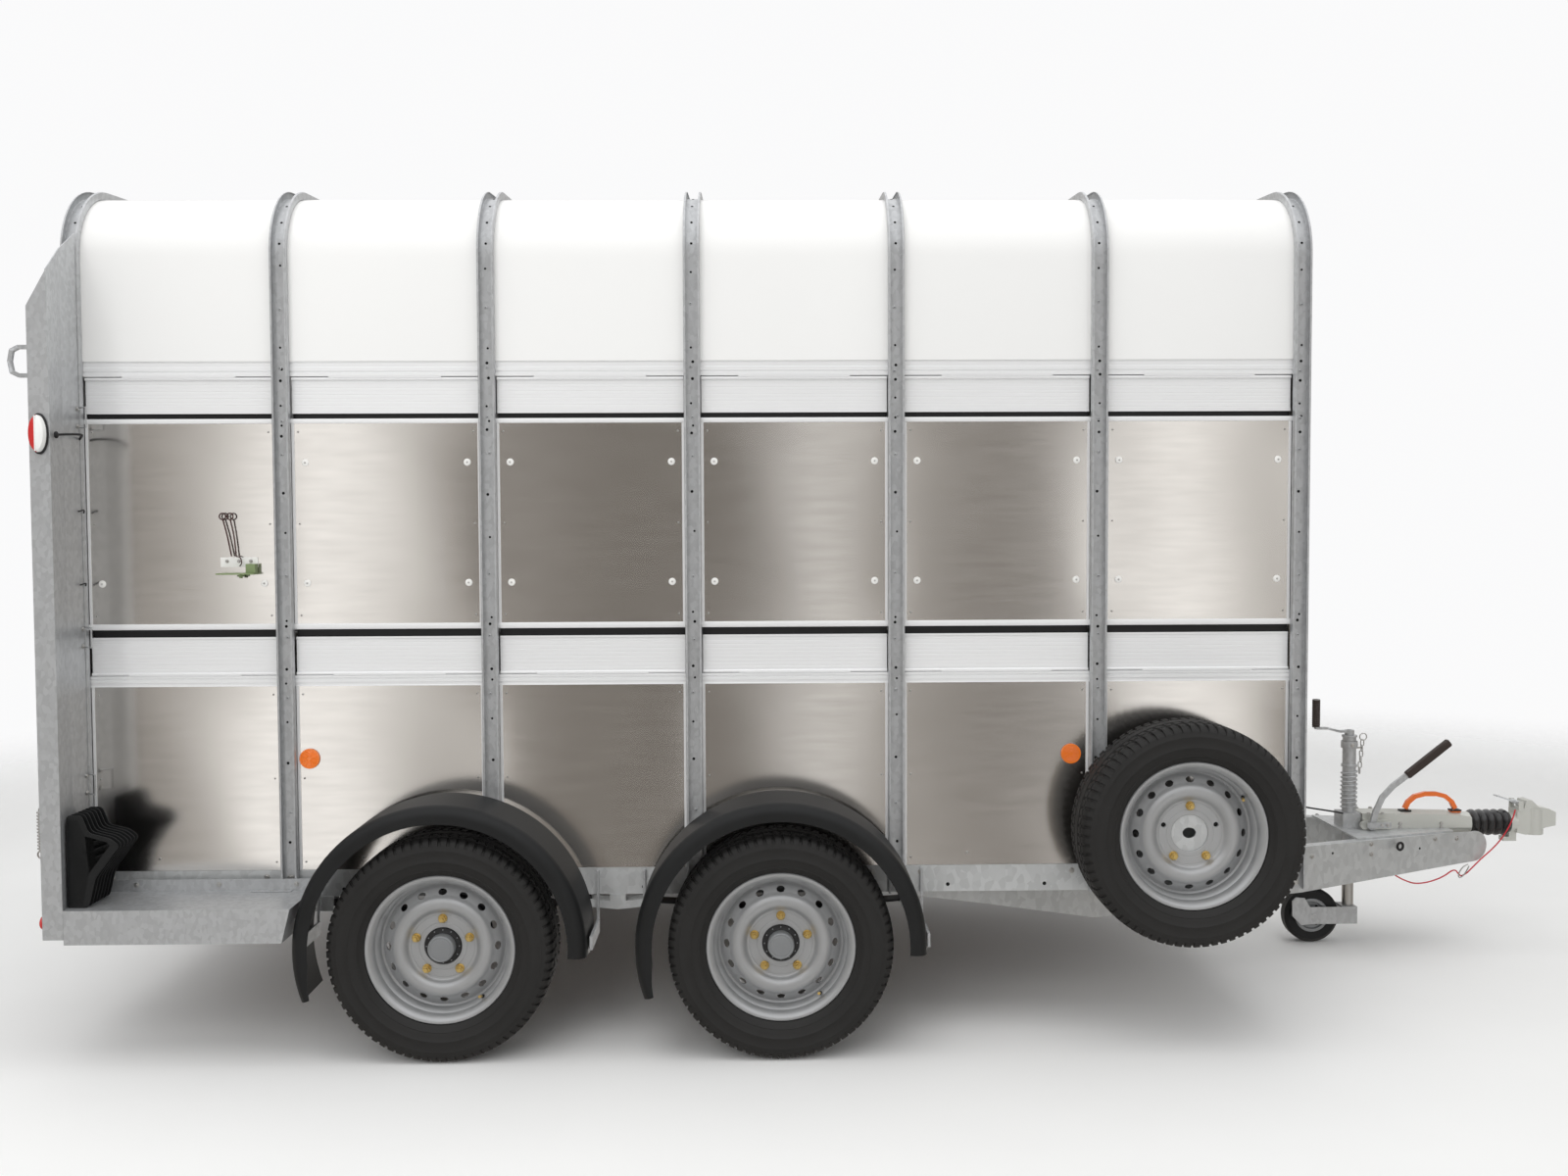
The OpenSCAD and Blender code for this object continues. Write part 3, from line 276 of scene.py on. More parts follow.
class Shape:
    """Collects the faces of one piece, each with its own material."""

    def __init__(self, look):
        self.bm = bmesh.new()
        self.looks = []
        self.use(look)

    def use(self, look):
        if look not in self.looks:
            self.looks.append(look)
        self.index = self.looks.index(look)
        return self

    def face(self, corners):
        made = self.bm.faces.new(corners)
        made.material_index = self.index
        return made

    def skin(self, rings, cap=True, closed=True, loop=False):
        """Joins rings of points by faces."""
        made = [[self.bm.verts.new(p) for p in ring] for ring in rings]
        size = len(rings[0])
        for i in range(len(made) if loop else len(made) - 1):
            a, b = made[i], made[(i + 1) % len(made)]
            for k in range(size if closed else size - 1):
                m = (k + 1) % size
                self.face([a[k], a[m], b[m], b[k]])
        if cap and closed and not loop:
            self.face(made[0][::-1])
            self.face(made[-1])
        return self

    def box(self, lo, hi):
        (x0, y0, z0), (x1, y1, z1) = lo, hi
        ring = [(x0, y0), (x1, y0), (x1, y1), (x0, y1)]
        return self.skin([[Vector((x, y, z)) for x, y in ring] for z in (z0, z1)])

    def side_box(self, side, xs, ys, zs):
        """A box on one side of the trailer, with ys measured from its middle plane."""
        low, high = sorted((side * ys[0], side * ys[1]))
        return self.box((xs[0], low, zs[0]), (xs[1], high, zs[1]))

    def prism(self, outline, along):
        """An outline of points, extruded along a vector."""
        along = Vector(along)
        return self.skin([[Vector(p) for p in outline], [Vector(p) + along for p in outline]])

    def rod(self, a, b, r, n=20, r2=None):
        a, b = Vector(a), Vector(b)
        u, v = framed(b - a)
        turn = turns(n)
        return self.skin([[p + (u * math.cos(t) + v * math.sin(t)) * q for t in turn]
                          for p, q in ((a, r), (b, r if r2 is None else r2))])

    def lathe(self, profile, origin, axis, n=48, scale=(1, 1)):
        """Turns (radius, height) points about an axis; an end on the axis is closed by a fan."""
        origin, axis = Vector(origin), Vector(axis).normalized()
        u, v = framed(axis)
        turn = turns(n)
        rings = [[origin + axis * h + (u * math.cos(t) * scale[0] + v * math.sin(t) * scale[1]) * max(r, 1e-5)
                  for t in turn] for r, h in profile]
        return self.skin(rings, cap=True)

    def ring_lathe(self, profile, origin, axis, n=64):
        """Turns a closed profile into a ring."""
        origin, axis = Vector(origin), Vector(axis).normalized()
        u, v = framed(axis)
        rings = []
        for k in range(n):
            t = 2 * math.pi * k / n
            out = u * math.cos(t) + v * math.sin(t)
            rings.append([origin + out * r + axis * h for r, h in profile])
        return self.skin(rings, loop=True)

    def tube(self, path, r, n=10, loop=False, flat=1.0):
        """A round or flattened bar along a path."""
        path = [Vector(p) for p in path]
        rings = []
        side = None
        for i, p in enumerate(path):
            if loop:
                ahead = (path[(i + 1) % len(path)] - path[i - 1]).normalized()
            else:
                ahead = (path[min(i + 1, len(path) - 1)] - path[max(i - 1, 0)]).normalized()
            if side is None:
                side = framed(ahead)[0]
            side = (side - ahead * side.dot(ahead)).normalized()
            other = ahead.cross(side)
            rings.append([p + side * math.cos(2 * math.pi * k / n) * r
                          + other * math.sin(2 * math.pi * k / n) * r * flat for k in range(n)])
        return self.skin(rings, loop=loop)

    def bolt(self, place, axis, r=0.008, h=0.006):
        """A hexagon head on a round washer."""
        place, axis = Vector(place), Vector(axis).normalized()
        self.lathe([(r * 1.35, 0), (r * 1.35, h * 0.22), (r * 1.28, h * 0.3)], place, axis, 20)
        return self.lathe([(r, h * 0.25), (r, h * 0.85), (r * 0.86, h)], place, axis, 6)

    def rivet(self, place, axis, r=0.004, h=0.002):
        profile = [(r, 0), (r * 0.96, h * 0.4), (r * 0.7, h * 0.85), (r * 0.25, h)]
        return self.lathe(profile, place, axis, 12)


def bars(points, width):
    """The two edges of a flat bar through points of a plane, as a closed outline."""
    left, right = [], []
    for i, p in enumerate(points):
        a, b = Vector(points[max(i - 1, 0)]), Vector(points[min(i + 1, len(points) - 1)])
        ahead = (b - a).normalized()
        normal = Vector((-ahead.y, ahead.x))
        left.append(Vector(p) + normal * width / 2)
        right.append(Vector(p) - normal * width / 2)
    return left + right[::-1]


def rounded(points, r, steps=4):
    """An open line of points of a plane, with its inner corners rounded to radius r."""
    out = [Vector(points[0])]
    for before, corner, after in zip(points, points[1:], points[2:]):
        a, c, b = Vector(before), Vector(corner), Vector(after)
        reach = min(r, (a - c).length / 2, (b - c).length / 2)
        start, end = c + (a - c).normalized() * reach, c + (b - c).normalized() * reach
        for k in range(steps + 1):
            t = k / steps
            out.append(start * (1 - t) ** 2 + c * 2 * t * (1 - t) + end * t ** 2)
    return out + [Vector(points[-1])]


def smooth_path(points, steps=6):
    """A Catmull-Rom curve through points."""
    points = [Vector(p) for p in points]
    out = []
    for i in range(len(points) - 1):
        p0, p1, p2, p3 = points[max(i - 1, 0)], points[i], points[i + 1], points[min(i + 2, len(points) - 1)]
        for k in range(steps):
            t = k / steps
            out.append(0.5 * (2 * p1 + (p2 - p0) * t + (2 * p0 - 5 * p1 + 4 * p2 - p3) * t ** 2
                              + (3 * p1 - p0 - 3 * p2 + p3) * t ** 3))
    return out + [points[-1]]


def finish_mesh(name, shape, angle=32):
    bmesh.ops.recalc_face_normals(shape.bm, faces=shape.bm.faces[:])
    mesh = bpy.data.meshes.new(name)
    shape.bm.to_mesh(mesh)
    shape.bm.free()
    for look in shape.looks:
        mesh.materials.append(look.material)
    mesh.shade_smooth()
    mesh.set_sharp_from_angle(angle=math.radians(angle))
    return mesh


def add_bevel(piece, width, segments=2):
    bevel = piece.modifiers.new("edges", "BEVEL")
    bevel.width = width
    bevel.segments = segments
    bevel.limit_method = "ANGLE"
    bevel.angle_limit = math.radians(38)
    bevel.harden_normals = True
    bevel.use_clamp_overlap = True


def piece(name, mesh, body, slot, stands_for=(), bevel=0.0, place=None):
    """Puts a mesh in the scene on its body; the slot argument is not used."""
    made = bpy.data.objects.new(name, mesh)
    scene.collection.objects.link(made)
    if place is not None:
        made.matrix_world = place
    if bevel:
        add_bevel(made, bevel)
    if stands_for:
        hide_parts(*stands_for)
    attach(made, body)
    return made


def add(name, shape, body, slot, stands_for=(), bevel=0.0, angle=32):
    return piece(name, finish_mesh(name, shape, angle), body, slot, stands_for, bevel)


def finish_node(name, look, bevel=0.0, angle=32):
    """Gives a CAD node its material, and breaks its edges."""
    made = nodes[name]
    made.data.materials.clear()
    made.data.materials.append(look.material)
    made.data.shade_smooth()
    made.data.set_sharp_from_angle(angle=math.radians(angle))
    if bevel:
        add_bevel(made, bevel)


# ---------- breakaway cable ----------

CABLE_R = 0.0025
CABLE_ROUTE = [
    (3.024, -0.046, 0.500), (3.012, -0.052, 0.470), (2.990, -0.058, 0.430), (2.960, -0.063, 0.390),
    (2.925, -0.067, 0.355), (2.885, -0.071, 0.322), (2.850, -0.075, 0.290), (2.826, -0.079, 0.270),
    (2.806, -0.082, 0.262), (2.792, -0.086, 0.272), (2.780, -0.091, 0.284), (2.762, -0.097, 0.284),
    (2.735, -0.104, 0.270), (2.700, -0.114, 0.258), (2.650, -0.130, 0.250), (2.600, -0.146, 0.252),
    (2.555, -0.158, 0.268), (2.520, -0.168, 0.287),
]


def breakaway_cable():
    path = smooth_path([at(*p) for p in CABLE_ROUTE], 5)
    shape = Shape(RED_CABLE).tube(path, CABLE_R, 12)
    made = add("breakaway_cable_red", shape, "trailer", "red_cable", ["breakaway_cable"])


breakaway_cable()

# ---------- hoops and roof ----------

CORNER_Y = WEB_Y - ROOF_R
CROWN_RISE = CROWN_Z - SPRING_Z - ROOF_R
CROWN_DROP = (CORNER_Y ** 2 - CROWN_RISE ** 2) / (2 * CROWN_RISE)
CROWN_R = CROWN_DROP + CROWN_RISE + ROOF_R
CROWN_A = math.atan(CORNER_Y / CROWN_DROP)


def arch_point(side, turn):
    """A point of the roof's line and its outward direction.

    turn runs from 0 to 1 round the corner, and on to 2 at the crown."""
    if turn <= 1:
        a = turn * (math.pi / 2 - CROWN_A)
        out = Vector((0, side * math.cos(a), math.sin(a)))
        return Vector((0, side * CORNER_Y, SPRING_Z)) + out * ROOF_R, out
    a = (2 - turn) * CROWN_A
    out = Vector((0, side * math.sin(a), math.cos(a)))
    return Vector((0, 0, SPRING_Z - CROWN_DROP)) + out * CROWN_R, out


def arch_line(foot):
    """The whole outline from the right foot over the crown to the left foot."""
    corner, crown = 14, 10
    half = [(Vector((0, -WEB_Y, foot)), Vector((0, -1, 0)))]
    half += [arch_point(-1, i / corner) for i in range(corner + 1)]
    half += [arch_point(-1, 1 + i / crown) for i in range(1, crown + 1)]
    flip = Vector((1, -1, 1))
    return half + [(p * flip, out * flip) for p, out in half[-2::-1]]


def web_marks(shape, x, side, marks):
    """Rivets, and open holes drawn as near-black discs of painted shade, along a hoop's leg."""
    out = Vector((0, side, 0))
    for i, z in enumerate(marks):
        place = Vector((x + random.uniform(-0.004, 0.004), side * (WEB_Y - 0.0005),
                        z + random.uniform(-0.012, 0.012)))
        if i % 3 == 1:
            shape.use(ZINC).rivet(place, out, 0.0055, 0.0024)
            # a near-black dot of painted shade in the rivet's hollow middle
            shape.use(HOLE_SHADE).rivet(place + out * 0.0016, out, 0.0018, 0.0012)
        else:
            # an open hole, drawn as a near-black disc of painted shade
            shape.use(HOLE_SHADE).rivet(place, out, 0.0036 if i % 2 else 0.0046, 0.0012)


LEG_MARKS = [0.60, 0.71, 0.86, 0.98, 1.06, 1.10, 1.14, 1.235, 1.27, 1.30, 1.42, 1.55, 1.68, 1.79, 1.86,
             1.89, 1.905, 1.95, 2.02, 2.045, 2.06, 2.12, 2.24, 2.35]


def build_hoops():
    line = rounded([(-0.0185, 0.0206), (-0.0236, 0.0206), (-0.0236, -0.0016), (0.0236, -0.0016),
                    (0.0236, 0.0206), (0.0185, 0.0206)], 0.004, 3)
    section = bars(line, 0.0026)
    for i, x in enumerate(HOOP_X):
        shape = Shape(ZINC)
        shape.skin([[p + Vector((x + a, 0, 0)) + out * d for a, d in section]
                    for p, out in arch_line(FOOT_Z)])
        for side in SIDES.values():
            web_marks(shape, x, side, LEG_MARKS)
            for turn in (0.12, 0.35, 0.6, 0.85, 1.25, 1.7):
                p, out = arch_point(side, turn)
                # holes round the arch, drawn as near-black discs of painted shade
                shape.use(HOLE_SHADE).rivet(p + Vector((x, 0, 0)) - out * 0.0005, out, 0.004, 0.0012)
            for z in (FOOT_Z + 0.022, FOOT_Z + 0.058):
                shape.use(STEEL).bolt((x, side * (WEB_Y - 0.0005), z), (0, side, 0), 0.0085, 0.009)
        add(f"hoop_{i + 1}", shape, "trailer", "galvanised", ["hoops"])


def build_roof():
    lo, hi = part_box("roof_sheet")
    inner, outer = WEB_Y - 0.9185, 0.0032
    line = [(p, out) for p, out in arch_line(lo.z)]
    ring = [p - out * outer for p, out in line] + [p - out * inner for p, out in line[::-1]]
    stations = [lo.x + (hi.x - lo.x) * i / 12 for i in range(13)]
    shape = Shape(ROOF).skin([[p + Vector((x, 0, 0)) for p in ring] for x in stations])
    add("roof_sheet_white", shape, "trailer", "roof_plastic", ["roof_sheet"])


# ---------- side walls ----------

FACE_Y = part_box("upper_panels")[1].y
RAIL_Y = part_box("vent_rails")[1].y
RAILS = [(1.089, 1.122), (1.263, 1.281), (1.888, 1.903), (2.030, 2.075)]


def bowed_sheet(shape, x, side, z0, z1, bow):
    """One bay's sheet: a little proud in its middle, with its edges flat."""
    half = PITCH / 2 - 0.001
    steps, rows = 16, 12
    rings = []
    for i in range(steps + 1):
        u = i / steps
        front = []
        for k in range(rows + 1):
            v = k / rows
            wave = 0.72 + 0.28 * math.sin(5 * u + 3 * v + x * 7)
            swell = bow * (1 - (2 * u - 1) ** 4) * (1 - (2 * v - 1) ** 6) * wave
            front.append(Vector((x + (2 * u - 1) * half, side * (FACE_Y + swell), z0 + (z1 - z0) * v)))
        back = [Vector((front[0].x, side * (FACE_Y - 0.003), z)) for z in (z1, z0)]
        rings.append(front + back)
    shape.skin(rings)


def build_panels(node, slot_name, bows):
    """One row of sheets on both sides, with edge strips and rivets in every bay."""
    lo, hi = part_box(node)
    for name, side in SIDES.items():
        shape = Shape(SHEET)
        for x, bow in zip(BAY_X, bows):
            bowed_sheet(shape, x, side, lo.z, hi.z, bow)
        shape.use(EXTRUSION)
        for x in BAY_X:
            for end in (-1, 1):
                edge = x + end * (PITCH / 2 - HOOP_W / 2)
                inner = edge - end * 0.008
                shape.box((min(edge, inner), side * FACE_Y - 0.002, lo.z),
                          (max(edge, inner), side * FACE_Y + 0.002, hi.z))
                for z in (lo.z + 0.025, (lo.z + hi.z) / 2, hi.z - 0.025):
                    shape.use(STEEL).rivet((inner - end * 0.012, side * (FACE_Y + 0.0002), z),
                                           (0, side, 0), 0.0032, 0.0015)
                shape.use(EXTRUSION)
        add(f"{node}_{name}", shape, "trailer", slot_name, [node], angle=50)


def contour_bar(shape, outer, inner_y, side, x0, x1):
    """An extrusion along X: outer is its visible contour in (y, z), from the bottom up."""
    ring = [Vector((0, side * y, z)) for y, z in outer]
    ring += [Vector((0, side * inner_y, outer[-1][1])), Vector((0, side * inner_y, outer[0][1]))]
    shape.prism([p + Vector((x0, 0, 0)) for p in ring], (x1 - x0, 0, 0))


def build_rails():
    """The grooved rails between the sheets, with their covers and black seals."""
    lo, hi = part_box("vent_rails")
    y = RAIL_Y
    contours = []
    for z0, z1 in RAILS[1:3]:
        contours.append([(y - 0.003, z0), (y - 0.0008, z0 + 0.0008), (y, z0 + 0.003), (y, z1 - 0.003),
                         (y - 0.0008, z1 - 0.0008), (y - 0.003, z1)])
    z0, z1 = RAILS[3]
    contours.append([(y - 0.002, z0), (y, z0 + 0.0015), (y, z0 + 0.010), (y - 0.0035, z0 + 0.012),
                     (y - 0.0035, z0 + 0.0155), (y - 0.0005, z0 + 0.0175), (y - 0.0005, z0 + 0.027),
                     (y - 0.003, z0 + 0.029), (y - 0.003, z1 - 0.004),
                     (y - 0.001, z1 - 0.002), (y - 0.001, z1)])
    z0, z1 = RAILS[0]
    contours.append([(y - 0.001, z0), (y - 0.001, z0 + 0.002), (y - 0.003, z0 + 0.004),
                     (y - 0.003, z0 + 0.010), (y - 0.0005, z0 + 0.012), (y - 0.0005, z0 + 0.020),
                     (y - 0.0035, z0 + 0.022), (y - 0.0035, z0 + 0.0245),
                     (y, z0 + 0.0265), (y, z1 - 0.0015), (y - 0.002, z1)])
    for name, side in SIDES.items():
        shape = Shape(EXTRUSION)
        for contour in contours:
            contour_bar(shape, contour, 0.901, side, lo.x, hi.x)
        for x in BAY_X:
            for z in (2.0262, 1.1222):
                shape.box((x - 0.17, side * (y - 0.001) - 0.0015, z),
                          (x + 0.17, side * (y - 0.001) + 0.0015, z + 0.0042))
        shape.use(SEAL)
        for z0, z1 in ((1.9035, 1.924), (1.234, 1.2625)):
            for x in BAY_X:
                half = PITCH / 2 - 0.027
                shape.side_box(side, (x - half, x + half), (0.8995, 0.9055), (z0, z1))
        add(f"vent_rails_{name}", shape, "trailer", "extrusion", ["vent_rails"], angle=25)


def build_flaps():
    """Ribbed flaps in rows of six, with the bead they turn on."""
    for name, side in SIDES.items():
        for row in ("upper", "lower"):
            node = f"{row}_flaps_{name}"
            lo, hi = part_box(node)
            outer, inner, bead_y = 0.914, 0.9092, 0.9155
            upper = row == "upper"
            hinge_z = hi.z - 0.005 if upper else lo.z + 0.005
            z0, z1 = (lo.z, hinge_z) if upper else (hinge_z, hi.z)
            contour = [(outer - 0.001, z0)]
            ribs = 9
            for i in range(ribs):
                z = z0 + 0.004 + (z1 - z0 - 0.010) * i / ribs
                step = (z1 - z0 - 0.010) / ribs
                contour += [(outer, z + 0.0008), (outer, z + step - 0.0016),
                            (outer - 0.0006, z + step - 0.001), (outer - 0.0006, z + step - 0.0002)]
            contour.append((outer, z1))
            shape = Shape(EXTRUSION)
            length = (hi.x - lo.x - 5 * PITCH) / 2
            for x in BAY_X:
                contour_bar(shape, contour, inner, side, x - length, x + length)
                shape.rod((x - length, side * bead_y, hinge_z), (x + length, side * bead_y, hinge_z),
                          0.005, 16)
                tip = (z0 if upper else z1)
                lip = sorted((tip, tip + (0.006 if upper else -0.006)))
                shape.side_box(side, (x - length, x + length), (0.9135, 0.9165), lip)
            add(f"{node}_ribbed", shape, f"{row}_vents_{name}", "extrusion", [node], angle=25)


def build_buttons():
    """Domed white covers with a rivet in the middle, near the corners of the upper sheets."""
    shape = Shape(WHITE)
    reach = 0.245
    for side in SIDES.values():
        for i, x in enumerate(BAY_X):
            for z in (1.404, 1.770):
                if i == 0 and (z > 1.5 or side > 0):  # the rear bay has only the lower pair, on the right
                    continue
                for end in (-1, 1):
                    place = Vector((x + end * reach, side * (FACE_Y + 0.0002), z))
                    profile = [(0.011, 0), (0.011, 0.0012), (0.0095, 0.0030),
                               (0.006, 0.0040), (0.001, 0.0042)]
                    shape.use(WHITE).lathe(profile, place, (0, side, 0), 24)
                    shape.use(STEEL).rivet(place + Vector((0, side * 0.0036, 0)),
                                           (0, side, 0), 0.0032, 0.0015)
    add("panel_buttons_domed", shape, "trailer", "white_plastic", ["panel_buttons"])


def build_pin_shelf():
    """A small shelf on the rear bay with two ringed pins, a green stop block and a screw knob."""
    lo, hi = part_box("pin_bracket")
    y = -FACE_Y - 0.0003
    shelf_z = lo.z
    shape = Shape(WHITE)
    shape.box((lo.x, y - 0.003, shelf_z + 0.022), (hi.x, y, shelf_z + 0.052))
    shape.use(PIN_GREEN).box((lo.x, y - 0.045, shelf_z), (hi.x, y, shelf_z + 0.004))
    shape.box((hi.x - 0.028, y - 0.030, shelf_z + 0.0045), (hi.x, y - 0.0035, shelf_z + 0.032))
    for i in range(3):
        shape.use(STEEL).bolt((lo.x + 0.020 + i * 0.036, y - 0.003, shelf_z + 0.040),
                              (0, -1, 0), 0.004, 0.004)
    shape.use(PIN_GREEN)
    knob = Vector(((lo.x + hi.x) / 2 + 0.012, y - 0.024, shelf_z - 0.001))
    shape.lathe([(0.004, 0.0), (0.004, -0.001), (0.011, -0.002), (0.011, -0.006), (0.005, -0.007),
                 (0.005, -0.011)], knob + Vector((0, 0, 0.001)), (0, 0, 1), 20)
    shape.use(PIN_BROWN)
    for i in range(2):
        ring_x = lo.x + 0.012 + i * 0.024
        z = 1.608
        circle = [Vector((ring_x + 0.0095 * math.cos(a), y - 0.012 - i * 0.004, z + 0.0095 * math.sin(a)))
                  for a in turns(20)]
        shape.tube(circle, 0.0022, 8, loop=True)
        foot = Vector((ring_x + 0.026 - i * 0.010, y - 0.014, shelf_z + 0.055))
        shape.tube(smooth_path([(ring_x + 0.001, y - 0.012 - i * 0.004, z - 0.009),
                                (ring_x + 0.014 - i * 0.004, y - 0.013, z - 0.060), foot], 5), 0.0024, 8)
    hook = [foot, foot + Vector((0.012, -0.001, -0.004)), foot + Vector((0.016, -0.001, -0.020)),
            foot + Vector((0.010, -0.001, -0.030))]
    shape.tube(smooth_path(hook, 5), 0.0018, 8)
    add("pin_shelf", shape, "trailer", "galvanised", ["pin_bracket"], bevel=0.0006)


# ---------- mudguards ----------

GUARD_R = 0.430


def guard_section(depth):
    """The guard's section in (y, r): flat over the tyre, and rounded down to its outer lip."""
    line = rounded([(0.949, 0.4285), (1.148, 0.4285), (1.1685, 0.4105), (1.1685, GUARD_R - depth)], 0.020, 5)
    return bars(line, 0.003)


def build_mudguards():
    """Bent guards over the four wheels, with two bolts near each end."""
    start, stop, steps = -3, 200, 58
    for name, side in SIDES.items():
        for end in ("rear", "front"):
            hub = centre(f"tyre_{end}_{name}")
            rings = []
            for i in range(steps + 1):
                t = i / steps
                a = math.radians(start + (stop - start) * t)
                narrow = max(0, (t - 0.93) / 0.07)
                section = guard_section(0.052 - 0.020 * narrow)
                rings.append([Vector((hub.x + math.cos(a) * r, side * y, hub.z + math.sin(a) * r))
                              for y, r in section])
            shape = Shape(GUARD).skin(rings)
            for a in (-2, 196):
                out = spoke(math.radians(a))
                for y in (0.98, 1.10):
                    shape.use(STEEL).bolt(Vector((hub.x, side * y, hub.z)) + out * 0.4295, out, 0.007, 0.005)
            add(f"mudguard_{end}_{name}", shape, "trailer", "guard_plastic", ["mudguards"], angle=40)


# ---------- wheels, drawn about the axle with +Y outwards ----------

STUD_R = 0.08255
STUD_ANGLES = [90, 18, -54, -126, 162]
VENTS = 16
VENT_R = 0.161
PITCHES = 76


def tyre_profile():
    """(r, y, kind) from the middle of the tread out to the bead and back inside.

    kind 1 and 2 are the tread blocks that the slots cut, and 0 is left smooth."""
    outer = [(0.3340, 0.000, 0), (0.3340, 0.015, 0), (0.3275, 0.017, 0), (0.3275, 0.024, 0),
             (0.3340, 0.026, 1), (0.3338, 0.047, 1), (0.3270, 0.049, 0), (0.3270, 0.057, 0),
             (0.3332, 0.059, 2), (0.3322, 0.072, 2), (0.3290, 0.083, 2), (0.3225, 0.0895, 2),
             (0.3150, 0.0932, 2), (0.3120, 0.0945, 0), (0.3000, 0.0965, 0), (0.2985, 0.0975, 0),
             (0.2965, 0.0975, 0), (0.2950, 0.0968, 0), (0.2820, 0.0975, 0), (0.2690, 0.0972, 0),
             (0.2675, 0.0982, 0), (0.2655, 0.0982, 0), (0.2640, 0.0968, 0), (0.2520, 0.0945, 0),
             (0.2420, 0.0905, 0), (0.2405, 0.0912, 0), (0.2385, 0.0905, 0), (0.2370, 0.0882, 0),
             (0.2290, 0.0820, 0), (0.2225, 0.0770, 0), (0.2225, 0.0718, 0)]
    inner = [(0.2080, 0.0690, 0), (0.2035, 0.0640, 0), (0.2035, 0.0500, 0), (0.2300, 0.0700, 0),
             (0.2700, 0.0870, 0), (0.3050, 0.0830, 0), (0.3210, 0.0550, 0), (0.3210, 0.0, 0)]
    half = outer + inner
    return half + [(r, -y, kind) for r, y, kind in half[-2:0:-1]]


def tyre_mesh():
    """The treaded tyre: the profile turned in steps, with the slots cut between the tread blocks."""
    depth = {0: (0, 0), 1: (0.0, 0.0035), 2: (0.0, 0.0062)}
    profile = tyre_profile()
    rings = []
    for i in range(PITCHES):
        for t, cut in ((0.0, 0), (0.62, 0), (0.67, 1), (0.95, 1)):
            ring = []
            for r, y, kind in profile:
                skew = (0.5 if y < 0 else 0) + abs(y) * 4.5
                a = 2 * math.pi * (i + t + skew) / PITCHES
                q = r - depth[kind][cut]
                ring.append(Vector((math.cos(a) * q, y, math.sin(a) * q)))
            rings.append(ring)
    return finish_mesh("tyre_mesh", Shape(RUBBER).skin(rings, loop=True), 40)


def rim_profile():
    """(r, y) round the rim's pressed disc and well, outer face first."""
    front = [(0.2205, 0.0715), (0.2205, 0.0745), (0.2180, 0.0770), (0.2135, 0.0772), (0.2090, 0.0748),
             (0.2050, 0.0705), (0.2015, 0.0660), (0.1990, 0.0610), (0.1980, 0.0520), (0.1970, 0.0450),
             (0.1925, 0.0400), (0.1885, 0.0330), (0.1870, 0.0240), (0.1860, 0.0150), (0.1805, 0.0110),
             (0.1785, 0.0120), (0.1760, 0.0155), (0.1700, 0.0215), (0.1560, 0.0320), (0.1510, 0.0360),
             (0.1480, 0.0410), (0.1420, 0.0465), (0.1340, 0.0502), (0.1260, 0.0512), (0.1180, 0.0492),
             (0.1110, 0.0445), (0.1060, 0.0380), (0.1020, 0.0322), (0.0985, 0.0305), (0.0955, 0.0305),
             (0.0947, 0.0298), (0.0932, 0.0298), (0.0924, 0.0305), (0.0720, 0.0305), (0.0712, 0.0298),
             (0.0697, 0.0298), (0.0689, 0.0305), (0.0565, 0.0305), (0.0550, 0.0295)]
    back = [(0.0550, 0.0262), (0.1010, 0.0262), (0.1110, 0.0400), (0.1220, 0.0455), (0.1360, 0.0435),
            (0.1500, 0.0310), (0.1660, 0.0170), (0.1775, 0.0060), (0.1775, -0.0340), (0.1985, -0.0520),
            (0.1985, -0.0660), (0.2010, -0.0710), (0.2140, -0.0760), (0.2205, -0.0760), (0.2205, -0.0720),
            (0.2070, -0.0700), (0.2030, -0.0660), (0.2030, -0.0500), (0.1820, -0.0340), (0.1820, 0.0050),
            (0.1905, 0.0200), (0.1920, 0.0340), (0.2030, 0.0500), (0.2035, 0.0640), (0.2080, 0.0690)]
    return front + back


def cut_away(mesh, cutter, name):
    """Boolean difference of two meshes, as a new mesh."""
    pair = []
    for m in (mesh, cutter):
        made = bpy.data.objects.new(m.name, m)
        scene.collection.objects.link(made)
        pair.append(made)
    tool = pair[0].modifiers.new("cut", "BOOLEAN")
    tool.operation = "DIFFERENCE"
    tool.solver = "EXACT"
    tool.object = pair[1]
    result = bpy.data.meshes.new_from_object(pair[0].evaluated_get(bpy.context.evaluated_depsgraph_get()))
    result.name = name
    for made in pair:
        bpy.data.objects.remove(made)
    result.shade_smooth()
    result.set_sharp_from_angle(angle=math.radians(32))
    return result


def rim_mesh():
    body = finish_mesh("rim_body", Shape(WHEEL_PAINT).ring_lathe(rim_profile(), (0, 0, 0), (0, 1, 0), 128))
    cutter = Shape(HOLE_SHADE)
    for i in range(VENTS):
        a = 2 * math.pi * i / VENTS
        out, along = spoke(a), Vector((-math.sin(a), 0, math.cos(a)))
        ring = [out * (VENT_R + 0.0085 * math.cos(t)) + along * 0.0125 * math.sin(t) for t in turns(16)]
        cutter.prism([p - Vector((0, 0.002, 0)) for p in ring], (0, 0.07, 0))
    for a in STUD_ANGLES:
        spot = spoke(math.radians(a)) * STUD_R
        cutter.rod(spot, spot + Vector((0, 0.07, 0)), 0.0078, 20)
    return cut_away(body, finish_mesh("rim_cutter", cutter), "rim_mesh")


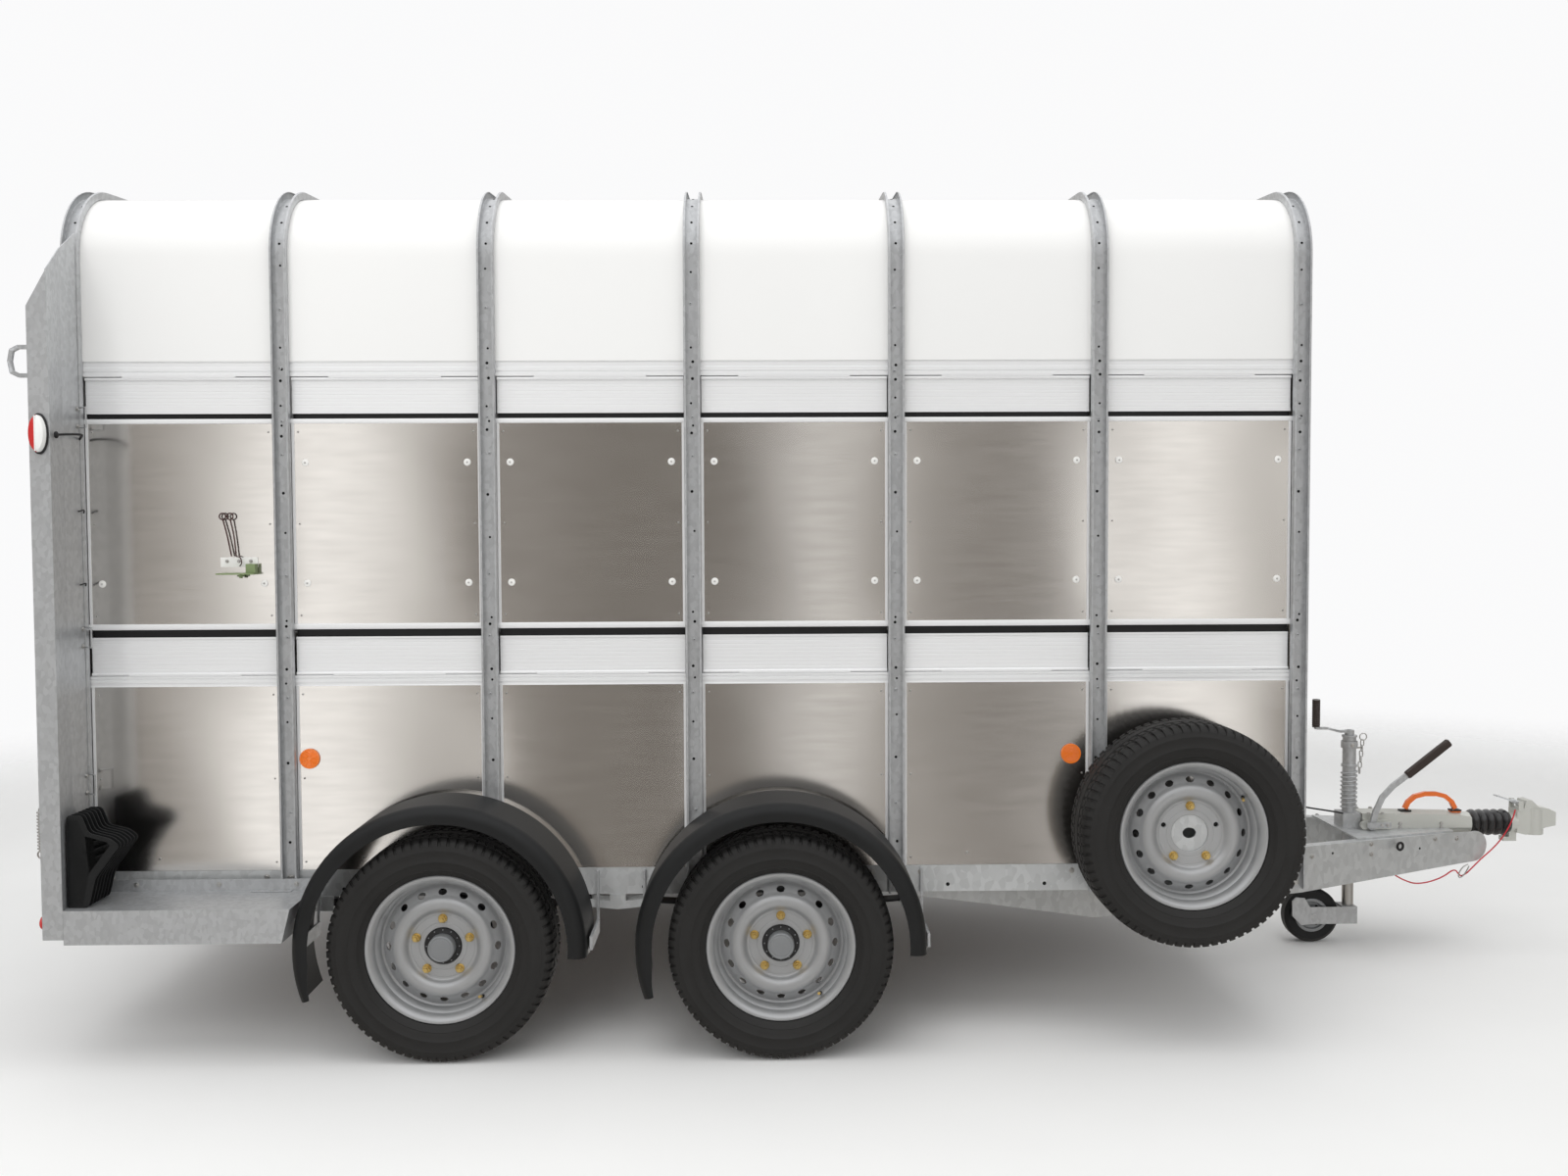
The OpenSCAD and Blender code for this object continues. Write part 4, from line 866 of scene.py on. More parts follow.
def add_nut(shape, a, look=None):
    spot = spoke(math.radians(a)) * STUD_R
    up = Vector((0, 1, 0))
    shape.use(look or GOLD)
    shape.lathe([(0.0135, 0.0303), (0.0135, 0.0325), (0.0118, 0.0345)], spot, up, 24)
    shape.lathe([(0.0112, 0.034), (0.0112, 0.0445), (0.0098, 0.0462), (0.0072, 0.0462)], spot, up, 6)
    return shape.lathe([(0.0064, 0.020), (0.0064, 0.0495), (0.0052, 0.0515), (0.001, 0.0515)], spot, up, 16)


def valve(shape, a):
    out = spoke(math.radians(a))
    foot = out * 0.190 + Vector((0, 0.036, 0))
    shape.use(SEAL).rod(foot, foot + Vector((0, 0.014, 0)) - out * 0.005, 0.0055, 14, 0.0045)
    return shape.use(GOLD).rod(foot + Vector((0, 0.014, 0)) - out * 0.005,
                               foot + Vector((0, 0.028, 0)) - out * 0.009, 0.0042, 14)


def hub_mesh():
    """Brake drum, hub face, cap, five nuts and the valve."""
    up = Vector((0, 1, 0))
    shape = Shape(CHASSIS_BLACK)
    shape.ring_lathe([(0.046, -0.058), (0.046, -0.004), (0.108, -0.004), (0.108, -0.072), (0.125, -0.072),
                      (0.125, 0.006), (0.104, 0.008), (0.104, 0.0255), (0.0305, 0.0255),
                      (0.0305, -0.058)], (0, 0, 0), up, 64)
    shape.use(HUB_BLACK)
    shape.ring_lathe([(0.0395, 0.026), (0.0540, 0.026), (0.0540, 0.0315), (0.0525, 0.0335),
                      (0.0430, 0.0345), (0.0410, 0.0360), (0.0395, 0.0360)], (0, 0, 0), up, 64)
    for k in range(12):
        a = 2 * math.pi * k / 12
        shape.use(CAP_GREY).rivet(spoke(a) * 0.0485 + up * 0.0338,
                                  up, 0.0022, 0.0012)
    shape.use(CAP_GREY)
    shape.lathe([(0.0392, 0.024), (0.0392, 0.0630), (0.0385, 0.0665), (0.0360, 0.0690), (0.0335, 0.0690),
                 (0.0325, 0.0682), (0.0300, 0.0682), (0.0290, 0.0690), (0.001, 0.0700)],
                (0, 0, 0), up, 64)
    for a in STUD_ANGLES:
        add_nut(shape, a)
    valve(shape, -128)
    return finish_mesh("hub_mesh", shape)


def at_wheel(node, name):
    turn = Matrix.Rotation(math.pi, 4, "Z") if name == "right" else Matrix.Identity(4)
    return Matrix.Translation(centre(node)) @ turn


def build_wheels():
    tyre, rim, hub = tyre_mesh(), rim_mesh(), hub_mesh()
    for name in SIDES:
        for end in ("rear", "front"):
            corner = f"{end}_{name}"
            place = at_wheel(f"tyre_{corner}", name)
            body = f"wheel_{corner}"
            piece(f"tyre_{corner}_treaded", tyre, body, "tyre", [f"tyre_{corner}"], place=place)
            piece(f"rim_{corner}_painted", rim, body, "wheel_silver", [f"rim_{corner}"], place=place)
            piece(f"hub_{corner}_capped", hub, body, "hub", [f"hub_{corner}"], place=place)
    place = at_wheel("spare_tyre", "right")
    piece("spare_tyre_treaded", tyre, "trailer", "tyre", ["spare_tyre"], place=place)
    piece("spare_rim_painted", rim, "trailer", "wheel_silver", ["spare_rim"], place=place)
    build_carrier(place)


def build_carrier(place):
    """The spare wheel's carrier: a plate with an oval hole, two arms, a wall plate, nuts and the valve."""
    up = Vector((0, 1, 0))
    shape = Shape(ZINC_HEAVY)
    turn = turns(48)
    outer = [Vector((0.099 * math.cos(t), 0, 0.099 * math.sin(t))) for t in turn]
    inner = [Vector((0.020 * math.cos(t), 0, 0.016 * math.sin(t))) for t in turn]
    low, high = up * 0.0195, up * 0.0255
    shape.skin([[p + low for p in outer], [p + high for p in outer],
                [p + high for p in inner], [p + low for p in inner]], loop=True)
    base = -WEB_Y + 0.0035
    wall = abs(place.translation.y) + base
    for side in (-1, 1):
        shape.box((side * 0.071 - 0.004, -wall + 0.004, -0.142), (side * 0.071 + 0.004, 0.0193, 0.050))
    shape.box((-0.110, -wall, -0.190), (0.110, -wall + 0.004, 0.070))
    for i in (0, 2, 3):
        add_nut(shape, STUD_ANGLES[i])
    # the two empty stud holes, drawn as near-black discs of painted shade
    for i in (1, 4):
        a = math.radians(STUD_ANGLES[i])
        shape.use(HOLE_SHADE).rivet(Vector((math.cos(a) * STUD_R, 0.0256, math.sin(a) * STUD_R)),
                              up, 0.0072, 0.0004)
    valve(shape, 145)
    mesh = finish_mesh("carrier_mesh", shape)
    piece("spare_carrier_plate", mesh, "trailer", "galvanised", ["spare_carrier"], place=place)


# ---------- lamps, lamp guards, wing brackets and chassis bolts ----------

def build_marker_lamps():
    """Oval side lamps, amber and red reflectors, and the lamps' leads."""
    rear_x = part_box("side_lamps")[0].x
    face = 1.1705
    lamp = Vector((MID_X - 1.845, 0, 1.843))
    for name, side in SIDES.items():
        shape = Shape(HUB_BLACK)
        turn = turns(40)

        def oval(scale, y):
            return [lamp + Vector((0.0255 * scale * math.cos(t), side * y,
                                   0.0585 * scale * math.sin(t))) for t in turn]

        shape.skin([oval(1.0, face), oval(1.0, face + 0.006),
                    oval(0.93, face + 0.008), oval(0.90, face + 0.008)])
        for look, low, high in ((LAMP_RED, 10, 30), (LAMP_CLEAR, 30, 50)):
            shape.use(look)
            rings = []
            for scale, y in ((0.90, 0.0065), (0.90, 0.018), (0.82, 0.0245),
                             (0.62, 0.0275), (0.34, 0.0288), (0.02, 0.0290)):
                arc = [2 * math.pi * k / 40 for k in range(low, high + 1)]
                rings.append([lamp + Vector((0.0255 * scale * math.cos(t), side * (face + y),
                                             0.0585 * scale * math.sin(t))) for t in arc])
            shape.skin(rings)
        shape.use(LAMP_CLEAR)
        shape.side_box(side, (lamp.x - 0.0016, lamp.x + 0.0016), (face + 0.008, face + 0.0298),
                       (lamp.z - 0.050, lamp.z + 0.050))
        for x in (-1.178, 1.161):
            spot = at(x, side * (FACE_Y + 0.0003), 0.866)
            out = Vector((0, side, 0))
            shape.use(AMBER)
            rings = [(0.0308, 0), (0.0308, 0.0045), (0.0295, 0.0062), (0.0275, 0.0062), (0.0265, 0.0050)]
            rings += [(0.0265 - 0.0022 * k, 0.0050 + (0.0012 if k % 2 else 0.0)) for k in range(1, 10)]
            rings += [(0.0050, 0.0060), (0.0010, 0.0060)]
            shape.lathe(rings, spot, out, 40)
            for k in range(8):
                a = math.pi * k / 4 + 0.3
                arm = spoke(a)
                shape.rod(spot + out * 0.0060 + arm * 0.006, spot + out * 0.0060 + arm * 0.024, 0.0010, 6)
        spot = Vector((rear_x, side * 1.148, 0.430))
        shape.use(LAMP_RED)
        shape.lathe([(0.018, 0.0115), (0.0195, 0.008), (0.0195, 0.004), (0.0175, 0.0015),
                     (0.0120, 0.0008), (0.001, 0.0003)], spot, (1, 0, 0), 32)
        shape.use(HUB_BLACK)
        shape.side_box(side, (rear_x + 0.0115, rear_x + 0.022), (1.129, 1.165), (0.411, 0.449))
        add(f"marker_lamps_{name}", shape, "trailer", "lamp_amber", ["side_lamps"])
        wire = Shape(SEAL)
        cable = [at(-1.815, side * 1.140, 1.842), at(-1.800, side * 1.100, 1.846),
                 at(-1.800, side * 1.020, 1.850),
                 at(-1.826, side * 0.965, 1.846), at(-1.850, side * 0.940, 1.835)]
        wire.tube(smooth_path(cable, 6), 0.0035, 8)
        wire.lathe([(0.010, 0), (0.010, 0.004), (0.006, 0.007)],
                   at(-1.8155, side * 1.140, 1.842), (1, 0, 0), 20)
        for z in (1.40, 1.62):
            wire.tube(smooth_path([at(-1.834, side * 0.943, z), at(-1.826, side * 0.960, z + 0.008),
                                   at(-1.834, side * 0.978, z + 0.004)], 5), 0.0022, 6)
        add(f"lamp_wiring_{name}", wire, "trailer", "guard_plastic")


def build_tail_lamps():
    """Ribbed lamps in pairs, and the plastic guards inboard of the shelf."""
    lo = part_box("tail_lamps")[0]
    for name, side in SIDES.items():
        shape = Shape(HUB_BLACK)
        ys = sorted((side * 0.985, side * 1.150))
        for z in (0.520, 0.640):
            shape.use(HUB_BLACK).box((lo.x + 0.010, ys[0], z), (lo.x + 0.026, ys[1], z + 0.105))
            third = (ys[1] - ys[0] - 0.012) / 3
            lenses = (LAMP_RED, AMBER, LAMP_CLEAR) if z < 0.6 else (LAMP_RED,) * 3
            for k, look in enumerate(lenses):
                y0 = ys[0] + 0.004 + k * (third + 0.002)
                shape.use(look)
                for j in range(9):
                    z0 = z + 0.005 + j * 0.0106
                    shape.prism([(lo.x + 0.010, y0, z0), (lo.x + 0.002, y0, z0 + 0.0025),
                                 (lo.x, y0, z0 + 0.0053), (lo.x + 0.002, y0, z0 + 0.0081),
                                 (lo.x + 0.010, y0, z0 + 0.0106)], (0, third, 0))
        add(f"tail_lamp_{name}", shape, "trailer", "lamp_red", ["tail_lamps"], bevel=0.0008)
        guard = Shape(GUARD)
        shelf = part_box("light_shelves")[1].z - 0.035
        outline = [(-1.816, shelf + 0.001), (-1.757, shelf + 0.001), (-1.735, 0.556), (-1.664, 0.650),
                   (-1.690, 0.672), (-1.752, 0.688), (-1.772, 0.740), (-1.816, 0.740)]
        outline = rounded(outline + outline[:1], 0.012, 3)[:-1]
        for k in range(7):
            y0 = side * (1.002 + k * 0.022)
            guard.prism([at(x, y0, z) for x, z in outline], (0, side * 0.004, 0))
        shrunk = [(-1.816, shelf + 0.010), (-1.772, shelf + 0.010), (-1.752, 0.570), (-1.690, 0.652),
                  (-1.700, 0.662), (-1.762, 0.680), (-1.782, 0.728), (-1.816, 0.728)]
        guard.prism([at(x, side * 1.000, z) for x, z in shrunk], (0, side * 0.138, 0))
        add(f"tail_lamp_guard_{name}", guard, "trailer", "guard_plastic", bevel=0.001)


def build_wing_fittings():
    """Bolted brackets between the hoop and the wing, and the shelf's fixings."""
    for name, side in SIDES.items():
        shape = Shape(ZINC)
        for z in (1.905, 1.245, 0.80):
            xs = (at(-1.876, 0, 0).x, at(-1.836, 0, 0).x)
            shape.side_box(side, xs, (0.9475, 0.9505), (z - 0.045, z + 0.045))
            for k in (-1, 1):
                shape.use(STEEL).bolt(at(-1.8375, side * 0.962, z + k * 0.026), (1, 0, 0), 0.006, 0.005)
            shape.use(ZINC)
            shape.tube([at(-1.834, side * 0.952, z - 0.030), at(-1.806, side * 0.975, z - 0.030),
                        at(-1.806, side * 0.975, z + 0.030), at(-1.834, side * 0.952, z + 0.030)], 0.003, 8)
        for x in (-1.70, -1.45, -1.215):
            shape.use(STEEL).bolt(at(x, side * 0.951, 0.487), (0, side, 0), 0.006, 0.005)
        shape.use(ZINC)
        xs = (at(-1.345, 0, 0).x, at(-1.225, 0, 0).x)
        shape.side_box(side, xs, (0.9515, 0.975), (0.4685, 0.471))
        for x in (-1.325, -1.285, -1.245):
            shape.use(STEEL).rivet(at(x, side * 0.964, 0.471), (0, 0, 1), 0.0045, 0.002)
        add(f"wing_fittings_{name}", shape, "trailer", "galvanised", bevel=0.0005)


def build_chassis_fittings():
    """Bolts, weld beads, and holes drawn as near-black discs of painted shade, along the chassis rails."""
    lo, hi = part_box("chassis_frame")
    y = hi.y
    for name, side in SIDES.items():
        shape = Shape(STEEL)
        for x in BAY_X:
            for k in (-1, 1):
                shape.use(STEEL).bolt((x + k * 0.235, side * y, lo.z + 0.062), (0, side, 0), 0.0065, 0.005)
                # holes in the rail, drawn as near-black discs of painted shade
                shape.use(HOLE_SHADE).rivet((x + k * 0.150, side * y, lo.z + 0.022), (0, side, 0), 0.006, 0.0006)
            shape.use(STEEL).rivet((x - 0.09, side * (FACE_Y + 0.0003), 0.560), (0, side, 0), 0.0045, 0.002)
        shape.use(ZINC_HEAVY)
        for x in HOOP_X[1:-1]:
            for end in (-1, 1):
                bead = [Vector((x + end * 0.0265, side * (y + 0.0005), lo.z + 0.004 + 0.012 * k))
                        for k in range(6)]
                shape.tube(bead, 0.0024, 6)
        add(f"chassis_fittings_{name}", shape, "trailer", "galvanised")


# ---------- drawbar, coupling and jockey wheel ----------

def build_grips():
    """Soft grips over the levers' ends, and the covers of the small wheel."""
    shape = Shape(GRIP_BROWN)
    path = [Vector(at(x, -0.082, z)) for x, z in ((2.596, 0.638), (2.600, 0.6415),
                                                  (2.650, 0.681), (2.700, 0.7205),
                                                 (2.750, 0.760), (2.753, 0.7625))]
    rings, radii = [], (0.0120, 0.0146, 0.0150, 0.0150, 0.0146, 0.0120)
    for p, r in zip(path, radii):
        up = Vector((-0.619, 0, 0.785))
        ring = []
        for k in range(24):
            c, s = math.cos(2 * math.pi * k / 24), math.sin(2 * math.pi * k / 24)
            wide = Vector((0, 1, 0)) * math.copysign(abs(s) ** 0.45, s) * r * 0.80
            ring.append(p + up * math.copysign(abs(c) ** 0.45, c) * r + wide)
        rings.append(ring)
    shape.skin(rings)
    add("handbrake_grip", shape, "handbrake", "jockey_rubber")

    shape = Shape(GRIP_BROWN)
    grip_z = 0.809
    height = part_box("jockey_crank")[1].z - grip_z
    profile = [(0.0105, 0.0), (0.0140, 0.002)]
    for k in range(12):
        z = 0.006 + k * (height - 0.016) / 12
        profile += [(0.0136, z), (0.0146, z + 0.0020), (0.0146, z + 0.0052), (0.0136, z + 0.0066)]
    profile += [(0.0144, height - 0.008), (0.0142, height - 0.003),
                (0.0100, height), (0.001, height + 0.0005)]
    shape.lathe(profile, at(2.288, 0, grip_z), (0, 0, 1), 24)
    add("crank_grip", shape, "crank", "jockey_rubber")

    wheel_lo, wheel_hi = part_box("jockey_wheel")
    mid = (wheel_lo + wheel_hi) / 2
    shape = Shape(CAP_GREY)
    for side in (-1, 1):
        out = Vector((0, side, 0))
        shape.use(CAP_GREY)
        shape.lathe([(0.0640, 0.0090), (0.0640, 0.0235), (0.0610, 0.0262), (0.0520, 0.0262),
                     (0.0480, 0.0200), (0.0300, 0.0180), (0.0235, 0.0300), (0.0100, 0.0302)],
                    mid, out, 48)
        for k in range(6):
            a = math.pi * k / 3
            arm = spoke(a)
            # holes in the cover, drawn as near-black discs of painted shade
            shape.use(HOLE_SHADE).rivet(mid + out * 0.0195 + arm * 0.038, out, 0.0055, 0.0008)
    add("jockey_wheel_covers", shape, "jockey_roller", "jockey_rubber", bevel=0.0004)


def build_drawbar_fittings():
    """Bolts, holes drawn as near-black discs of painted shade, and a rubber grommet on the drawbar's arms,
    and the fixings on the housing.
    """
    a, b = Vector((0.650, 0.800)), Vector((2.890, 0.055))
    ahead = (b - a).normalized()
    out = Vector((-ahead.y, ahead.x))
    for name, side in SIDES.items():
        shape = Shape(STEEL)
        face = 0.0265

        def on_arm(s, z):
            spot = a + ahead * s + out * face
            return at(spot.x, side * spot.y, z), Vector((out.x, side * out.y, 0))

        for s, z in ((1.50, 0.418), (1.57, 0.398), (1.83, 0.422),
                     (1.83, 0.385), (2.12, 0.418), (2.22, 0.412)):
            place, normal = on_arm(s, z)
            shape.use(STEEL).bolt(place, normal, 0.0065, 0.006)
        # holes in the arm, drawn as near-black discs of painted shade
        for s, z in ((1.42, 0.385), (1.66, 0.402), (2.05, 0.388)):
            place, normal = on_arm(s, z)
            shape.use(HOLE_SHADE).rivet(place, normal, 0.0045, 0.0006)
        place, normal = on_arm(1.96, 0.403)
        shape.use(SEAL).ring_lathe([(0.009, -0.002), (0.0165, -0.002), (0.0175, 0.0015), (0.0150, 0.0040),
                                    (0.0100, 0.0040), (0.0085, 0.0020)], place, normal, 28)
        add(f"drawbar_fittings_{name}", shape, "trailer", "galvanised")
    shape = Shape(STEEL)
    for x in (2.468, 2.520):
        for side in (-1, 1):
            shape.use(STEEL).bolt(at(x, side * 0.053, 0.4904), (0, 0, 1), 0.0062, 0.006)
    for x, z in ((2.628, 0.494), (2.818, 0.494)):
        shape.use(SEAL)
        shape.box((at(x - 0.0195, 0, 0).x, -0.0150, z - 0.0045), (at(x + 0.0195, 0, 0).x, 0.0150, z + 0.0012))
        for side in (-1, 1):
            shape.use(STEEL).rivet(at(x + 0.013 * (1 if x < 2.7 else -1), side * 0.0105, z + 0.0012),
                                   (0, 0, 1), 0.003, 0.0015)
    for x in (2.590, 2.745):
        for z in (0.452, 0.437):
            shape.use(STEEL).bolt(at(x, -0.0482, z), (0, -1, 0), 0.0058, 0.005)
    add("housing_fittings", shape, "trailer", "bright_steel", bevel=0.0003)


def build_bellows():
    """Five soft folds over the coupling's slide."""
    lo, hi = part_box("bellows")
    travel, folds, steps = 0.090, 5, 10
    length = hi.x - lo.x
    profile = [(0.0315, 0.0), (0.0400, 0.0), (0.0400, 0.0030)]
    for k in range(1, folds * steps):
        swell = abs(math.sin(math.pi * k / steps)) ** 0.75
        profile.append((0.0405 + 0.0085 * swell, 0.003 + (length - 0.006) * k / (folds * steps)))
    profile += [(0.0400, length - 0.0030), (0.0400, length), (0.0315, length)]
    foot = Vector((lo.x, 0, (lo.z + hi.z) / 2))
    shape = Shape(BELLOWS).ring_lathe(profile, foot, (1, 0, 0), 72)
    made = add("bellows_folded", shape, "trailer", "bellows_rubber", ["bellows"])
    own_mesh(made)


def build_mast_fittings():
    """Spring and collars on the mast, the handbrake's bracket, the snap hook, wiring and edge clips."""
    mast = 2.415
    shape = Shape(ZINC)
    coil = []
    for k in range(9 * 20 + 1):
        a = 2 * math.pi * k / 20
        coil.append(at(mast + 0.0272 * math.cos(a), 0.0272 * math.sin(a), 0.500 + 0.0160 * k / 20))
    shape.tube(coil, 0.0036, 8)
    for z, r, h in ((0.7310, 0.0290, 0.026), (0.6600, 0.0275, 0.010), (0.7715, 0.0262, 0.008)):
        shape.ring_lathe([(0.0242, 0), (r, 0), (r + 0.001, h * 0.2), (r + 0.001, h * 0.8), (r, h),
                          (0.0242, h)], at(mast, 0, z), (0, 0, 1), 40)
    shape.use(STEEL).bolt(at(mast, -0.0300, 0.744), (0, -1, 0), 0.0055, 0.005)
    add("mast_spring", shape, "trailer", "galvanised")

    shape = Shape(ZINC)
    for y in (-0.0975, -0.0705):
        shape.box((at(2.446, 0, 0).x, y, 0.4470), (at(2.535, 0, 0).x, y + 0.003, 0.4660))
    shape.use(STEEL)
    for x in (2.500, 2.522):
        shape.bolt(at(x, -0.0976, 0.4565), (0, -1, 0), 0.005, 0.0045)
    add("handbrake_bracket", shape, "trailer", "galvanised", bevel=0.0006)

    shape = Shape(STEEL)
    hook = [(2.832, 0.300), (2.824, 0.284), (2.812, 0.266), (2.800, 0.257), (2.793, 0.262),
            (2.796, 0.276), (2.806, 0.292), (2.818, 0.302), (2.828, 0.306)]
    shape.tube(smooth_path([at(x, -0.088, z) for x, z in hook], 5), 0.0022, 8)
    add("snap_hook", shape, "trailer", "bright_steel")

    shape = Shape(SEAL)
    lead = [(1.878, -0.100, 0.590), (1.95, -0.098, 0.578), (2.08, -0.080, 0.552), (2.22, -0.055, 0.520),
            (2.34, -0.048, 0.499), (2.375, -0.046, 0.492)]
    shape.tube(smooth_path([at(*q) for q in lead], 6), 0.0032, 8)
    add("wiring_lead", shape, "trailer", "guard_plastic")

    shape = Shape(ZINC)
    edge, pin_x = hoops_hi.x + 0.0004, hoops_hi.x + 0.0065
    for z in (1.30, 0.72, 1.60):
        shape.rod((pin_x, -0.9000, z - 0.022), (pin_x, -0.9000, z + 0.022), 0.0055, 16)
        shape.box((edge, -0.9120, z - 0.016), (pin_x, -0.8960, z + 0.016))
    add("front_edge_clips", shape, "trailer", "galvanised", bevel=0.0005)


# ---------- ramp, front wall and door ----------

def build_ramp_skin():
    """Pressed ribs and rivets on the ramp's outer face."""
    lo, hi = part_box("ramp_deck")
    shape = Shape(RAMP_SHEET)
    for i in range(9):
        z = lo.z + 0.17 + i * (hi.z - lo.z - 0.34) / 8
        shape.use(RAMP_SHEET)
        rib = [(0.0, -0.016), (-0.0030, -0.010), (-0.0030, 0.010), (0.0, 0.016)]
        shape.prism([(lo.x + x, -0.80, z + h) for x, h in rib], (0, 1.60, 0))
    for side in (-1, 1):
        for i in range(22):
            z = lo.z + 0.05 + i * (hi.z - lo.z - 0.10) / 21
            shape.use(STEEL).rivet((lo.x - 0.0002, side * 0.835, z), (-1, 0, 0), 0.0045, 0.002)
    add("ramp_outer_ribs", shape, "ramp", "ramp_aluminium", bevel=0.0006)


def build_front_skin():
    """Rivets round the front wall's sheet, and the door's handle."""
    wall_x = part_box("front_wall")[1].x - 0.0002
    shape = Shape(STEEL)
    for side in (-1, 1):
        for i in range(20):
            z = 0.56 + i * 0.078
            shape.rivet((wall_x, side * 0.892, z), (1, 0, 0), 0.0042, 0.002)
    for i in range(12):
        shape.rivet((wall_x, -0.17 + i * 0.09, 0.545), (1, 0, 0), 0.0042, 0.002)
    add("front_wall_rivets", shape, "trailer", "bright_steel")
    face = at(1.878, 0, 0).x
    spot = Vector((face, -0.315, 1.17))
    shape = Shape(STEEL)
    plate = rounded([(-0.030, -0.070), (0.030, -0.070), (0.030, 0.070), (-0.030, 0.070), (-0.030, -0.070)],
                    0.012, 3)[:-1]
    shape.prism([spot + Vector((-0.0005, y, z)) for y, z in plate], (0.0040, 0, 0))
    shape.use(HUB_BLACK)
    grip = [spot + Vector(v) for v in ((0.003, -0.012, 0.040), (0.022, -0.012, 0.034), (0.026, -0.012, 0.0),
                                       (0.022, -0.012, -0.034), (0.003, -0.012, -0.040))]
    shape.tube(smooth_path(grip, 5), 0.0065, 12)
    for z in (-0.058, 0.058):
        shape.use(STEEL).rivet(spot + Vector((0.0033, 0, z)), (1, 0, 0), 0.0045, 0.002)
    add("door_handle", shape, "door", "bright_steel", bevel=0.0005)


# ---------- CAD pieces that keep their shape ----------

def build_finishes():
    looks = {
        "lower_panels": SHEET, "upper_panels": SHEET, "fixed_hinges": ZINC, "front_wall": SHEET,
        "front_door": SHEET, "floor_deck": BOARD, "partition_gate": RAMP_SHEET, "ramp_deck": RAMP_SHEET,
        "ramp_frame": EXTRUSION, "ramp_latch_left": ZINC, "ramp_latch_right": ZINC, "ramp_springs": STEEL,
        "chassis_frame": ZINC_HEAVY, "drawbar": ZINC_HEAVY, "axle_beams": CHASSIS_BLACK,
        "leaf_springs": CHASSIS_BLACK, "spring_hangers": ZINC_HEAVY, "mudguard_stays": ZINC,
        "rear_wings": ZINC, "light_shelves": ZINC, "coupling_head": CREAM, "coupling_housing": CREAM,
        "coupling_lever": ZINC_HEAVY, "grab_handle": ORANGE, "handbrake_lever": ZINC, "bellows": BELLOWS,
        "jockey_tube": ZINC, "jockey_stem": STEEL, "jockey_fork": ZINC, "jockey_wheel": GUARD,
        "jockey_crank": ZINC, "jockey_chain": STEEL,
    }
    bevels = {
        "fixed_hinges": 0.0006, "front_wall": 0.0008, "front_door": 0.0015, "partition_gate": 0.0015,
        "ramp_frame": 0.0015, "ramp_latch_left": 0.001, "ramp_latch_right": 0.001, "chassis_frame": 0.001,
        "drawbar": 0.0012, "axle_beams": 0.0012, "leaf_springs": 0.0008, "spring_hangers": 0.001,
        "mudguard_stays": 0.0008, "rear_wings": 0.0008, "light_shelves": 0.0008, "coupling_head": 0.003,
        "coupling_housing": 0.004, "coupling_lever": 0.0015, "grab_handle": 0.003,
        "handbrake_lever": 0.0015, "jockey_fork": 0.001, "jockey_wheel": 0.003,
    }
    for name in nodes:
        finish_node(name, looks.get(name, ZINC), bevels.get(name, 0.0))


# ---------- floor, world and lamps of the studio ----------

def build_floor():
    """A pale disc that fades out before its edge; shiny metal reflects the studio and not the floor."""
    look = Look("studio_floor", (0.93, 0.927, 0.915), 0.8)
    look.shades(look.noise(1.5, 3), 0.985, 1.01)
    place = look.node("ShaderNodeTexCoord")
    away = look.node("ShaderNodeVectorMath")
    away.operation = "LENGTH"
    look.link(place.outputs["Object"], away.inputs[0])
    fade = look.node("ShaderNodeMapRange")
    fade.interpolation_type = "SMOOTHSTEP"
    look.link(away.outputs["Value"], fade.inputs["Value"])
    for key, value in (("From Min", 3.6), ("From Max", 8.6), ("To Min", 1.0), ("To Max", 0.0)):
        fade.inputs[key].default_value = value
    look.link(fade.outputs["Result"], look.shader.inputs["Alpha"])
    shape = Shape(look)
    turn = turns(96)
    shape.prism([(9.0 * math.cos(a), 9.0 * math.sin(a), -0.02) for a in turn], (0, 0, 0.02))
    floor = bpy.data.objects.new("floor", finish_mesh("floor", shape))
    scene.collection.objects.link(floor)
    floor.visible_glossy = False


